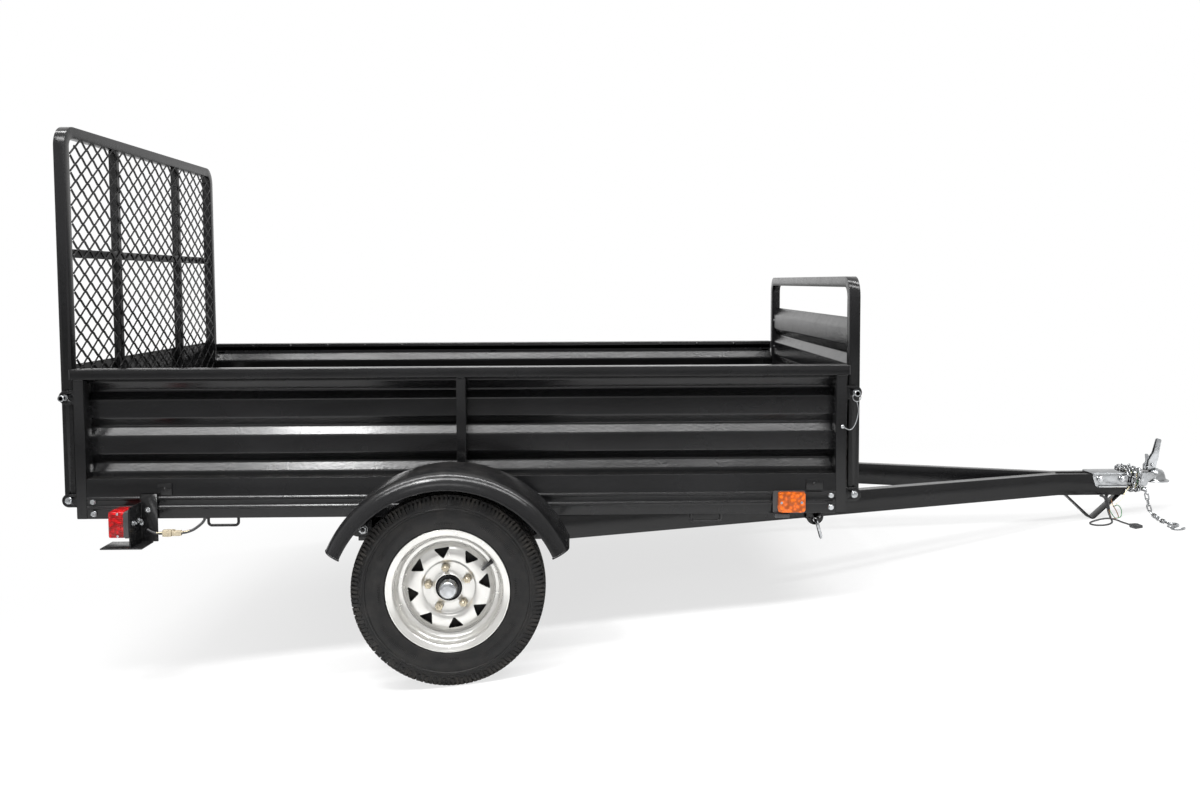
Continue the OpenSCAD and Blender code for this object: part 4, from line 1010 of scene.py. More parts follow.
class TRAILER_OT_nose_wiring(bpy.types.Operator):
    """Loose lamp wires along the nose, in their sleeve and wound in with the chain"""
    bl_idname = "trailer.nose_wiring"
    bl_label = "Nose wiring"

    def execute(self, context):
        bm = bmesh.new()
        put_rod(bm, smooth_path([(2.226, -0.0425, 0.336), (2.240, -0.0455, 0.330), (2.252, -0.047, 0.316),
                                 (2.255, -0.046, 0.300), (2.259, -0.043, 0.284)], 5), 0.0046, 10,
                normal=(0, 1, 0))
        top, low = Vector((2.244, -0.046, 0.326)), Vector((2.256, -0.045, 0.292))
        for k in range(9):
            put_ring(bm, top.lerp(low, k / 8), (0.25, 0.0, -0.95), 0.0050, 0.0009, 16)
        make_piece("wire_sleeve", bm, "chassis", "black_plastic")

        def loose(*points):
            return smooth_path([PARKED @ Vector(p) for p in points], 6)

        runs = {
            "cream_wire": [
                wrap_path(0.0022, NOSE_END + 0.014, 0.020, 2, 0.1),
                loose((2.262, -0.0445, 0.300), (2.280, -0.050, 0.306), (2.298, -0.052, 0.322),
                      (2.312, -0.0465, 0.340), (2.322, -0.045, 0.356), (2.330, -0.0445, 0.366)),
            ],
            "green_wire": [
                wrap_path(0.0022, NOSE_END + 0.0185, 0.020, 2, 0.15),
                loose((2.259, -0.043, 0.290), (2.268, -0.050, 0.268), (2.284, -0.052, 0.252),
                      (2.300, -0.050, 0.262), (2.302, -0.047, 0.284), (2.290, -0.046, 0.300),
                      (2.276, -0.0455, 0.296)),
            ],
            "brown_wire": [
                loose((2.257, -0.045, 0.292), (2.262, -0.052, 0.262), (2.272, -0.054, 0.240),
                      (2.286, -0.052, 0.236), (2.292, -0.049, 0.256), (2.284, -0.047, 0.280),
                      (2.272, -0.046, 0.300), (2.266, -0.0452, 0.322)),
            ],
        }
        wire, ground = 0.0016, 0.0022
        for name, paths in runs.items():
            bm = bmesh.new()
            for path in paths:
                laid = [Vector((p.x, p.y, max(p.z, ground))) for p in path]
                put_rod(bm, laid, wire, 8, normal=(0.3, 0.9, 0.3))
            make_piece(name + "s", bm, "chassis", "black_plastic", look=name, smooth=60, level=False)
        return {"FINISHED"}


# ------------------------------------------------------------------ axle, springs, fenders

class TRAILER_OT_axle(bpy.types.Operator):
    """Axle, leaf springs, hangers, stays and pivot pins, with nuts and U-bolt ends"""
    bl_idname = "trailer.axle"
    bl_label = "Axle and springs"

    def execute(self, context):
        for node in ("axle", "spring_hangers", "leaf_spring_right", "leaf_spring_left", "fender_stays"):
            dress(node, 0.001)
        hangers = level_box("spring_hangers")
        spring = level_box("leaf_spring_left")
        stays = level_box("fender_stays")
        eye_z = ARM_TOP - 0.008
        spring_y = (spring[0].y + spring[1].y) / 2
        bm = bmesh.new()
        half_spring, half_saddle = 0.256, 0.034
        for x in (-half_spring, half_spring):
            put_bolt(bm, (x, hangers[1].y - 0.010, eye_z), (0, 1, 0), 0.0065)
            put_bolt(bm, (x, spring_y - 0.0315, eye_z), (0, -1, 0), 0.0065)
        for x in (-half_saddle, half_saddle):
            for y in (spring[0].y + 0.009, spring[1].y - 0.009):
                put_bolt(bm, (x, y, AXLE_Z - 0.0323), (0, 0, -1), 0.005, stud=0.006)
                put_bolt(bm, (x, y, AXLE_Z + 0.0603), (0, 0, 1), 0.005, stud=0.004)
        for x, z in ((-0.297, 0.414), (-0.288, 0.434), (0.234, 0.415), (0.224, 0.421)):
            put_bolt(bm, (x, stays[1].y, z), (0, 1, 0), 0.004)
        make_piece("spring_bolts", bm, "chassis", "zinc_plate", mirror=True)

        pins = level_box("tilt_pivot_pins")
        bm = bmesh.new()
        pin_x, pin_y, pin_z = -0.300, pins[1].y, BED_BOTTOM - 0.038
        put_lathe(bm, [(-0.003, 0), (-0.003, 0.0145), (-0.0005, 0.0155), (0.002, 0.0155),
                       (0.0035, 0.012), (0.0035, 0)], (pin_x, pin_y, pin_z), (0, 1, 0), 32)
        put_rod(bm, [(pin_x - 0.015, pin_y - 0.0035, pin_z - 0.014), (pin_x, pin_y - 0.0035, pin_z - 0.0135),
                     (pin_x + 0.015, pin_y - 0.0035, pin_z - 0.014)], 0.0014, 8)
        make_piece("pivot_pin_heads", bm, "chassis", "zinc_plate", mirror=True)
        dress("tilt_pivot_pins", 0.001, "zinc_plate")
        return {"FINISHED"}


class TRAILER_OT_fenders(bpy.types.Operator):
    """Round fenders rolled over at their outer edge, with a folded hem"""
    bl_idname = "trailer.fenders"
    bl_label = "Fenders"

    def execute(self, context):
        for name, side in WHEELS:
            low, high = level_box("fender_" + name)
            inner_y, outer_y = (low.y, high.y) if side > 0 else (-high.y, -low.y)
            centre = (0, 0, AXLE_Z - 0.035)
            radius = high.z - centre[2]
            end = math.radians(24.0)
            lip, thick, fold = 0.046, 0.0025, 0.0038
            line = ([(inner_y + 0.0022, radius - 0.010), (inner_y + 0.0006, radius - 0.004)]
                    + arc((inner_y + fold, radius - fold), fold, 150, 90, 4)
                    + [(inner_y + 0.4 * (outer_y - inner_y), radius)]
                    + arc((outer_y - lip, radius - lip), lip, 90, 0, 12)
                    + [(outer_y - 0.0002, radius - lip - 0.001)])
            back = offset_line(line, -thick)
            bm = bmesh.new()
            put_lathe(bm, [tuple(p) for p in line] + [tuple(p) for p in reversed(back)], centre,
                      (0, 1, 0), 96, start=end, sweep=math.pi - 2 * end, loop=True)
            # Hem along both ends of the arc
            for a in (end, math.pi - end):
                out = around(a)
                path = [Vector((0, y, centre[2])) + out * (r - thick / 2) for y, r in line[4:]]
                put_rod(bm, path, 0.0026, 8, normal=out)
            if side < 0:
                for v in bm.verts:
                    v.co.y = -v.co.y
            make_piece("round_fender_" + name, bm, "chassis", "black_paint", ("fender_" + name,), smooth=50)
        return {"FINISHED"}


# ------------------------------------------------------------------ wheels

def tyre_section(wheel):
    """Outer half of the tyre's section from the bead to the tread, as (across, radius)."""
    base = wheel.radius - wheel.groove_depth
    return [
        (0.0430, 0.1535), (0.0448, 0.1570), (0.0468, 0.1640), (0.0490, 0.1702), (0.0540, 0.1718),
        (0.0562, 0.1736), (0.0566, 0.1770), (0.0572, 0.1830), (0.0588, 0.1920), (0.0600, 0.2010),
        (0.0603, 0.2100), (0.0594, 0.2180), (0.0582, 0.2226), (0.0582, 0.2236), (0.0601, 0.2250),
        (0.0604, 0.2266), (0.0596, 0.2284), (0.0574, 0.2302), (0.0574, 0.2330), (0.0578, 0.2345),
        (0.0574, 0.2368), (0.0560, 0.2400), (0.0538, 0.2460), (0.0512, 0.2510),
        (0.0485, base - 0.0035), (0.0440, base - 0.0015), (0.0300, base - 0.0004), (0.0, base),
    ]


class TRAILER_OT_tyres(bpy.types.Operator):
    """Tyres with ribbed tread, shoulder lugs and moulded sidewall rings"""
    bl_idname = "trailer.tyres"
    bl_label = "Tyres"

    def execute(self, context):
        wheel = context.scene.trailer_wheel
        half_section = tyre_section(wheel)
        section = half_section + [(-t, r) for t, r in reversed(half_section[:-1])]
        for name, side in WHEELS:
            centre = wheel_centre(side)
            bm = bmesh.new()
            put_lathe(bm, section + [(-0.030, 0.1535), (0.030, 0.1535)], centre, (0, 1, 0), 144, loop=True)
            # Moulded ticks outside the sidewall ring, then bands of fine radial ribs inside it
            for face in BOTH:
                for bands, first, step, ribs, shape in (
                    (1, 0, 3.75, 96, (0.2345, 0.2400, 0.0568, 0.0564, 0.0011, 0.0011)),
                    (4, 28, 1.25, 30, (0.1945, 0.2125, 0.0588, 0.0594, 0.0010, 0.0009)),
                    (4, 84, 1.4, 12, (0.1830, 0.1905, 0.0568, 0.0582, 0.0011, 0.0009)),
                ):
                    for band in range(bands):
                        for k in range(ribs):
                            a = math.radians(first + 90 * band + step * k)
                            self.bar(bm, centre, face, a, *shape)
            make_piece("carcass_" + name, bm, "wheel_" + name, "tyre_rubber", ("tyre_" + name,), smooth=40)
            bm = bmesh.new()
            self.tread(bm, centre, wheel)
            for face in BOTH:
                for k in range(wheel.lugs):
                    a = TAU * (k + 0.25 * (face > 0)) / wheel.lugs
                    long_lug = k % 2
                    self.bar(bm, centre, face, a, 0.2395 if long_lug else 0.2440, wheel.radius - 0.0028,
                             0.0560 if long_lug else 0.0545, 0.0462, 0.0037, 0.0022)
            make_piece("tread_" + name, bm, "wheel_" + name, "tyre_rubber", look="tread_rubber", smooth=35)
        return {"FINISHED"}

    @staticmethod
    def bar(bm, centre, face, angle, r0, r1, t0, t1, half_width, height):
        """Raised bar on a side of the tyre, from radius r0 to r1."""
        out = around(angle)
        across = Vector((-out.z, 0, out.x))
        axis = Vector((0, face, 0))
        points = []
        for r, t in ((r0, t0), ((r0 + r1) / 2, (t0 + t1) / 2 + 0.0012), (r1, t1)):
            for w, h in ((-half_width, -0.002), (-half_width * 0.86, height), (half_width * 0.86, height),
                         (half_width, -0.002)):
                points.append(bm.verts.new(centre + out * r + axis * (t + h) + across * w))
        for i in (0, 4):
            for k in range(4):
                bm.faces.new((points[i + k], points[i + (k + 1) % 4], points[i + 4 + (k + 1) % 4],
                              points[i + 4 + k]))
        bm.faces.new(points[3::-1])
        bm.faces.new(points[8:12])

    @staticmethod
    def tread(bm, centre, wheel):
        """Blocks of each rib, with slanted gaps between them."""
        ribs, blocks = wheel.ribs, wheel.blocks
        half = 0.0465
        gap = 0.0046
        width = (2 * half - (ribs - 1) * gap) / ribs
        for rib in range(ribs):
            t0 = -half + rib * (width + gap)
            crown = abs((rib - (ribs - 1) / 2) / ((ribs - 1) / 2))
            lift = wheel.radius - 0.0004 - 0.0022 * crown ** 2
            root = wheel.radius - 0.0095
            for k in range(blocks):
                a0 = TAU * (k + 0.5 * (rib % 2)) / blocks
                a1 = a0 + TAU / blocks * 0.86
                slant = TAU / blocks * 0.16 * (-1 if rib % 2 else 1)
                rows = []
                for a_low, a_high, t in ((a0, a1, t0), (a0 + slant, a1 + slant, t0 + width / 2),
                                         (a0, a1, t0 + width)):
                    rows.append([
                        bm.verts.new(centre + Vector((0, t, 0)) + around(a) * r)
                        for a, r in ((a_low, root), (a_low + 0.002, lift), (a_high - 0.002, lift),
                                     (a_high, root))
                    ])
                for first, second in zip(rows, rows[1:]):
                    for i in range(4):
                        bm.faces.new((first[i], first[(i + 1) % 4], second[(i + 1) % 4], second[i]))
                bm.faces.new(rows[0][::-1])
                bm.faces.new(rows[-1])


class TRAILER_OT_rims(bpy.types.Operator):
    """Pressed steel rims with triangular vents and a rubber valve"""
    bl_idname = "trailer.rims"
    bl_label = "Rims"

    def execute(self, context):
        wheel = context.scene.trailer_wheel
        for name, side in WHEELS:
            centre = wheel_centre(side)
            out = (0, side, 0)
            bm = bmesh.new()
            barrel = [
                (0.0530, 0.1700), (0.0552, 0.1700), (0.0560, 0.1690), (0.0560, 0.1676), (0.0548, 0.1655),
                (0.0530, 0.1600), (0.0512, 0.1545), (0.0490, 0.1512), (0.0450, 0.1500), (0.0330, 0.1490),
                (0.0300, 0.1475), (0.0270, 0.1440), (0.0245, 0.1425), (0.0150, 0.1405), (0.0125, 0.1385),
                (0.0105, 0.1345), (0.0095, 0.1290), (-0.0200, 0.1280), (-0.0320, 0.1440), (-0.0440, 0.1480),
                (-0.0500, 0.1640), (-0.0560, 0.1690), (-0.0560, 0.1700), (-0.0530, 0.1700),
                (-0.0470, 0.1532), (-0.0330, 0.1525), (-0.0210, 0.1330), (0.0060, 0.1330),
                (0.0110, 0.1430), (0.0240, 0.1460), (0.0300, 0.1525), (0.0440, 0.1534), (0.0475, 0.1560),
                (0.0500, 0.1640), (0.0515, 0.1688),
            ]
            put_lathe(bm, barrel, centre, out, 128, loop=True)
            make_piece("rim_barrel_" + name, bm, "wheel_" + name, "wheel_grey", ("rim_" + name,), smooth=40)

            bm = bmesh.new()
            front = [
                (0.0060, 0.1292), (0.0085, 0.1282), (0.0095, 0.1262), (0.0078, 0.1246), (0.0088, 0.1232),
                (0.0130, 0.1200), (0.0180, 0.1120), (0.0210, 0.1000), (0.0215, 0.0880), (0.0200, 0.0790),
                (0.0178, 0.0745), (0.0150, 0.0722), (0.0142, 0.0700), (0.0142, 0.0470), (0.0152, 0.0410),
                (0.0176, 0.0385), (0.0176, 0.0367),
            ]
            back = [(t - 0.0042, r) for t, r in reversed(front)]
            put_lathe(bm, front + back, centre, out, 160, loop=True)
            disc = make_piece("rim_disc_" + name, bm, "wheel_" + name, "wheel_grey", smooth=40)
            self.cut_vents(context, disc, centre, side, wheel)

            # Painted shade: a dark plate behind the vents, which the wheel doesn't have, darkens them as the shade
            # inside the wheel would.
            bm = bmesh.new()
            put_lathe(bm, [(-0.0060, 0.0700), (-0.0060, 0.1282), (-0.0035, 0.1282), (-0.0020, 0.1200),
                           (-0.0020, 0.0760), (-0.0035, 0.0700)], centre, out, 96, loop=True)
            make_piece("vent_shade_plate_" + name, bm, "wheel_" + name, "black_paint", look="tread_rubber")

            bm = bmesh.new()
            angle = math.radians(31)
            path = [centre + Vector((math.cos(angle) * r, side * t, math.sin(angle) * r))
                    for r, t in ((0.1375, 0.013), (0.1330, 0.019), (0.1280, 0.027), (0.1210, 0.036),
                                 (0.1165, 0.0415))]
            put_rod(bm, path, 0.0052, 12, normal=(0, 1, 0), scales=[1.45, 1.1, 0.9, 0.84, 0.80])
            tip = path[-1] - path[-2]
            put_lathe(bm, [(-0.001, 0), (-0.001, 0.0046), (0.007, 0.0044), (0.009, 0.0034), (0.009, 0)],
                      path[-1], tip, 16)
            make_piece("valve_" + name, bm, "wheel_" + name, "black_plastic")
        return {"FINISHED"}

    @staticmethod
    def cut_vents(context, disc, centre, side, wheel):
        """Cuts the vents, triangles with round corners, through the disc."""
        bm = bmesh.new()
        for k in range(wheel.vents):
            a = wheel.vent_angle + TAU * k / wheel.vents
            shape = rounded([(0.1125, -0.0235), (0.1125, 0.0235), (0.0845, 0.0022), (0.0845, -0.0022)],
                            [0.0030, 0.0030, 0.002, 0.002], 4)
            shape = [(x * math.cos(a) - y * math.sin(a), x * math.sin(a) + y * math.cos(a))
                     for x, y in shape]
            first = [bm.verts.new((x, centre.y, AXLE_Z + z)) for x, z in shape]
            second = [bm.verts.new((x, centre.y + side * 0.040, AXLE_Z + z)) for x, z in shape]
            bm.faces.new(first)
            bm.faces.new(second[::-1])
            for i in range(len(shape)):
                j = (i + 1) % len(shape)
                bm.faces.new((first[i], second[i], second[j], first[j]))
        bmesh.ops.recalc_face_normals(bm, faces=bm.faces[:])
        mesh = bpy.data.meshes.new("vent cutter")
        bm.to_mesh(mesh)
        bm.free()
        mesh.transform(PARKED)
        cutter = bpy.data.objects.new("vent cutter", mesh)
        context.scene.collection.objects.link(cutter)
        cut = disc.modifiers.new("Vents", "BOOLEAN")
        cut.operation = "DIFFERENCE"
        cut.solver = "EXACT"
        cut.object = cutter
        context.view_layer.update()
        result = bpy.data.meshes.new_from_object(disc.evaluated_get(context.evaluated_depsgraph_get()))
        disc.modifiers.clear()
        disc.data = result
        bpy.data.objects.remove(cutter)
        result.set_sharp_from_angle(angle=math.radians(40))


class TRAILER_OT_hubs(bpy.types.Operator):
    """Hubs with lug nuts, studs and a pressed grease cap"""
    bl_idname = "trailer.hubs"
    bl_label = "Hubs"

    def execute(self, context):
        wheel = context.scene.trailer_wheel
        for name, side in WHEELS:
            centre = wheel_centre(side)
            out = Vector((0, side, 0))
            bm = bmesh.new()
            profile = [
                (-0.056, 0.0152), (-0.056, 0.0325), (-0.052, 0.0335), (-0.008, 0.0335), (-0.006, 0.040),
                (-0.0045, 0.068), (-0.003, 0.070), (0.004, 0.070), (0.0055, 0.068), (0.0055, 0.0345),
                (0.0125, 0.0335), (0.0140, 0.0325), (0.0140, 0.0255), (0.0040, 0.0240), (0.0040, 0.0),
            ]
            put_lathe(bm, profile, centre, out, 64)
            # Painted shade: the zinc hub body takes the black paint look, for the dark ring of shade round the
            # grease cap.
            make_piece("hub_body_" + name, bm, "wheel_" + name, "zinc_plate", ("hub_" + name,),
                       look="black_paint", smooth=40)
            bm = bmesh.new()
            cap = [(0.0100, 0.0), (0.0100, 0.0235), (0.0142, 0.0248), (0.0225, 0.0258), (0.0250, 0.0263),
                   (0.0262, 0.0257), (0.0275, 0.0250), (0.0440, 0.0246), (0.0490, 0.0228),
                   (0.0515, 0.0190), (0.0522, 0.0120), (0.0520, 0.0)]
            put_lathe(bm, cap, centre, out, 64)
            make_piece("grease_cap_" + name, bm, "wheel_" + name, "zinc_plate", smooth=40)
            bm = bmesh.new()
            seat = [(0.0110, 0), (0.0110, 0.0092), (0.0145, 0.0118), (0.0155, 0.0118)]
            hexagon = [(0.0150, 0.0118), (0.0270, 0.0118), (0.0300, 0.0098), (0.0305, 0.0066),
                       (0.0290, 0.0064), (0.0290, 0)]
            thread = [(0.0285, 0.0058), (0.0335, 0.0058), (0.0345, 0.0048), (0.0345, 0)]
            for k in range(wheel.studs):
                a = math.radians(98) + TAU * k / wheel.studs
                at = centre + around(a) * wheel.stud_radius
                for profile, sides in ((seat, 24), (hexagon, 6), (thread, 16)):
                    put_lathe(bm, profile, at, out, sides)
            make_piece("lug_nuts_" + name, bm, "wheel_" + name, "zinc_plate", look="yellow_zinc")
        return {"FINISHED"}


# ------------------------------------------------------------------ bed

def corrugated_line(panels, first_crest, z0, z1):
    """Line of a corrugated sheet from z1 down to z0, as (depth, height), with round bends."""
    flank = (panels.pitch - panels.flat - panels.groove) / 2

    def depth_at(z):
        d = (first_crest - z) % panels.pitch
        if d <= panels.flat:
            return 0.0
        if d <= panels.flat + flank:
            return panels.depth * (d - panels.flat) / flank
        if d <= panels.flat + flank + panels.groove:
            return panels.depth
        return panels.depth * (panels.pitch - d) / flank

    line = [(depth_at(z1), z1)]
    top = first_crest
    while top < z1:
        top += panels.pitch
    while top - panels.pitch > z0:
        for point in ((0, top - panels.flat), (panels.depth, top - panels.flat - flank),
                      (panels.depth, top - panels.pitch + flank), (0, top - panels.pitch)):
            if point[1] < z1 - 0.001:
                line.append(point)
        top -= panels.pitch
    line.append((0, z0))
    return rounded(line, panels.bend, panels.bend_steps, closed=False)


class TRAILER_OT_side_panels(bpy.types.Operator):
    """Corrugated side sheets with round bends, and the rivets that hold them"""
    bl_idname = "trailer.side_panels"
    bl_label = "Side panels"

    def execute(self, context):
        panels = context.scene.trailer_panels
        low, high = level_box("side_panel_left")
        line = corrugated_line(panels, RAIL_BOTTOM + 0.041, low.z, high.z)
        for name, side in WHEELS:
            bm = bmesh.new()
            put_sheet(bm, line, -panels.sheet, low.x, high.x,
                      lambda p, x: Vector((x, side * (PANEL_Y - p[0]), p[1])), cuts=12)
            make_piece("corrugated_side_" + name, bm, "bed", "black_paint",
                       ("side_panel_" + name,), smooth=30)
        bm = bmesh.new()
        for x, heights in ((BED_REAR + 0.030, (0.749, 0.730, 0.636, 0.624)),
                           (BED_FRONT - 0.034, (0.734, 0.637, 0.530))):
            for z in heights:
                put_rivet(bm, (x, PANEL_Y, z), (0, 1, 0), 0.0055)
                put_rivet(bm, (x, PANEL_Y - panels.sheet, z), (0, -1, 0), 0.0045)
        make_piece("side_rivets", bm, "bed", "zinc_plate", mirror=True)
        bm = bmesh.new()
        gaps = round((BED_FRONT - BED_REAR) / 0.156)
        for k in range(1, gaps):
            x = BED_REAR + (BED_FRONT - BED_REAR) * k / gaps
            put_rivet(bm, (x, PANEL_Y, RAIL_TOP - 0.009), (0, -1, 0), 0.0055)
        make_piece("rail_rivets", bm, "bed", "black_paint", mirror=True)
        return {"FINISHED"}


class TRAILER_OT_bed_frame(bpy.types.Operator):
    """Rails, posts, sills, cross members and floor, with welds and end caps"""
    bl_idname = "trailer.bed_frame"
    bl_label = "Bed frame"

    def execute(self, context):
        for node in ("top_rail_right", "top_rail_left"):
            dress(node, 0.0028)
        for node in ("corner_posts", "centre_posts", "end_sills", "cross_members"):
            dress(node, 0.0024)
        for node in ("lower_rail_right", "lower_rail_left"):
            dress(node, 0.0012, angle=20)
        dress("floor_panel", 0.0008, "floor_paint")
        bm = bmesh.new()
        centre = level_box("centre_posts")
        posts = level_box("corner_posts")
        seam_y, seam_z = SIDE_Y + 0.0002, RAIL_BOTTOM - 0.0004
        for x in (centre[0].x, centre[1].x):
            for z in (LOWER_TOP, RAIL_BOTTOM):
                put_weld(bm, (x, SIDE_Y - 0.004, z), (x, PANEL_Y + 0.012, z), 0.0028)
        for z in (LOWER_TOP + 0.0005, RAIL_BOTTOM - 0.0005):
            put_weld(bm, (centre[0].x + 0.002, seam_y, z), (centre[1].x - 0.002, seam_y, z), 0.0024)
        for x0, x1 in ((posts[0].x, posts[0].x + 0.030), (posts[1].x - 0.030, posts[1].x)):
            put_weld(bm, (x0 + 0.002, seam_y, seam_z), (x1 - 0.002, seam_y, seam_z), 0.0024)
        make_piece("bed_welds", bm, "bed", "black_paint", mirror=True)

        # Plastic caps in the open ends of the top rails
        bm = bmesh.new()
        for x, out in ((BED_REAR, -1), (BED_FRONT, 1)):
            for reach, inset, edge, steps in (((0.0016, -0.012), 0.0032, 0.001, 2),
                                              ((0.0, 0.0028), 0.0008, 0.0012, 3)):
                a, b = sorted(x + out * step for step in reach)
                put_box(bm, (a, PANEL_Y + inset, RAIL_BOTTOM + inset),
                        (b, SIDE_Y - inset, RAIL_TOP - inset), edge, steps)
        make_piece("rail_end_caps", bm, "bed", "black_plastic", mirror=True)

        # Cover strips with a screw each, low on the lower rail
        bm = bmesh.new()
        for x0, x1 in ((-0.873, -0.832), (1.034, 1.084)):
            put_box(bm, (x0, SIDE_Y, BED_BOTTOM + 0.070), (x1, SIDE_Y + 0.0036, BED_BOTTOM + 0.104), 0.0012)
            put_rivet(bm, ((x0 + x1) / 2, SIDE_Y + 0.0034, BED_BOTTOM + 0.087), (0, 1, 0), 0.005)
        make_piece("rail_covers", bm, "bed", "black_paint", mirror=True)
        bm = bmesh.new()
        for x, z in ((-1.063, 0.469), (-1.062, 0.433), (1.109, 0.471), (1.109, 0.435)):
            put_bolt(bm, (x, SIDE_Y, z), (0, 1, 0), 0.0042)
        for x in (-0.62, 0.62):
            put_bolt(bm, (x, 0.40, FLOOR[1].z), (0, 0, 1), 0.0045)
        make_piece("bed_bolts", bm, "bed", "zinc_plate", mirror=True)
        return {"FINISHED"}


class TRAILER_OT_underside_fittings(bpy.types.Operator):
    """Tie-down loops, tilt ears, lock ears and the bent lock pins"""
    bl_idname = "trailer.underside_fittings"
    bl_label = "Loops, ears and lock pins"

    def execute(self, context):
        dress("tie_down_loops", 0.0)
        for node in ("tilt_ears", "lock_ears"):
            dress(node, 0.0014)
        loops = frame["nodes"]["tie_down_loops"]
        loops.data.set_sharp_from_angle(angle=math.radians(40))
        high = level_box("lock_pins")[1]
        x, z = BED_FRONT - 0.034, ARM_BOTTOM - 0.004
        inner_y = high.y - 0.040
        bm = bmesh.new()
        bend = 0.012
        turn = math.radians(165)
        down = Vector((math.sin(turn), 0, math.cos(turn)))
        corner = Vector((x, high.y - 0.006, z))
        path = [Vector((x, inner_y, z)), corner - Vector((0, bend, 0))]
        path += [corner - Vector((0, bend, 0)) * (1 - t) ** 2 + down * bend * t ** 2
                 for t in (0.2, 0.4, 0.6, 0.8, 1.0)]
        path += [corner + down * 0.050, corner + down * 0.056]
        scales = [0.7] + [1.0] * (len(path) - 2) + [0.62]
        put_rod(bm, [path[0] - Vector((0, 0.002, 0))] + path[1:], 0.0056, 16, normal=(1, 0, 0), scales=scales)
        make_piece("bent_lock_pins", bm, "bed", "zinc_plate", ("lock_pins",), mirror=True, smooth=50)
        bm = bmesh.new()
        put_ring(bm, (x, inner_y + 0.0015, z), (0, 1, 0), 0.0076, 0.0013, 24)
        seam_y = level_box("lock_ears")[1].y - 0.003
        for seam_x in (x - 0.026, x + 0.026):
            put_weld(bm, (seam_x, seam_y, BED_BOTTOM - 0.001), (seam_x, seam_y, BED_BOTTOM + 0.008), 0.0026)
        make_piece("lock_pin_collars", bm, "bed", "zinc_plate", mirror=True)
        return {"FINISHED"}


class TRAILER_OT_gate_hardware(bpy.types.Operator):
    """Hinge ears, hinge bolts and the pull pins of both gates with their lanyards"""
    bl_idname = "trailer.gate_hardware"
    bl_label = "Gate hardware"

    def execute(self, context):
        dress("gate_hinge_ears", 0.0012)
        dress("gate_pins", 0.0008, "zinc_plate")
        ear_y = EARS[1].y
        tip = level_box("gate_pins")[1].y
        bm = bmesh.new()
        for x in (RAMP_X, HOOP_X):
            put_bolt(bm, (x, ear_y, HINGE_Z), (0, 1, 0), 0.0050, stud=0.002)
            put_lathe(bm, [(-0.006, 0), (-0.006, 0.0085), (-0.0045, 0.0095), (-0.001, 0.0095), (0.0, 0.0085),
                           (0.0, 0)], (x, tip, LATCH_Z), (0, 1, 0), 24)
            put_lathe(bm, [(0.0, 0.0062), (0.0, 0.0090), (0.0030, 0.0090), (0.0030, 0.0062)],
                      (x, ear_y + 0.001, LATCH_Z), (0, 1, 0), 24, loop=True)
            if x > 0:
                put_ring(bm, (x, tip - 0.012, LATCH_Z - 0.0125), (0, 1, 0.12), 0.0120, 0.0011)
        make_piece("gate_bolts_and_rings", bm, "bed", "zinc_plate", mirror=True)
        bm = bmesh.new()
        x, post_x, post_z = HOOP_X, HOOP_X - 0.040, LATCH_Z - 0.100
        path = smooth_path([
            (x, tip - 0.012, LATCH_Z - 0.0240), (x + 0.004, tip - 0.008, LATCH_Z - 0.052),
            (x - 0.004, tip - 0.008, LATCH_Z - 0.088), (x - 0.018, SIDE_Y + 0.004, LATCH_Z - 0.108),
            (post_x, SIDE_Y + 0.0026, post_z)], 6)
        put_rod(bm, path, 0.0011, 6, normal=(0, 1, 0))
        put_rivet(bm, (post_x, SIDE_Y, post_z), (0, 1, 0), 0.0052)
        make_piece("pin_lanyards", bm, "bed", "zinc_plate", mirror=True)
        return {"FINISHED"}


# ------------------------------------------------------------------ lamps

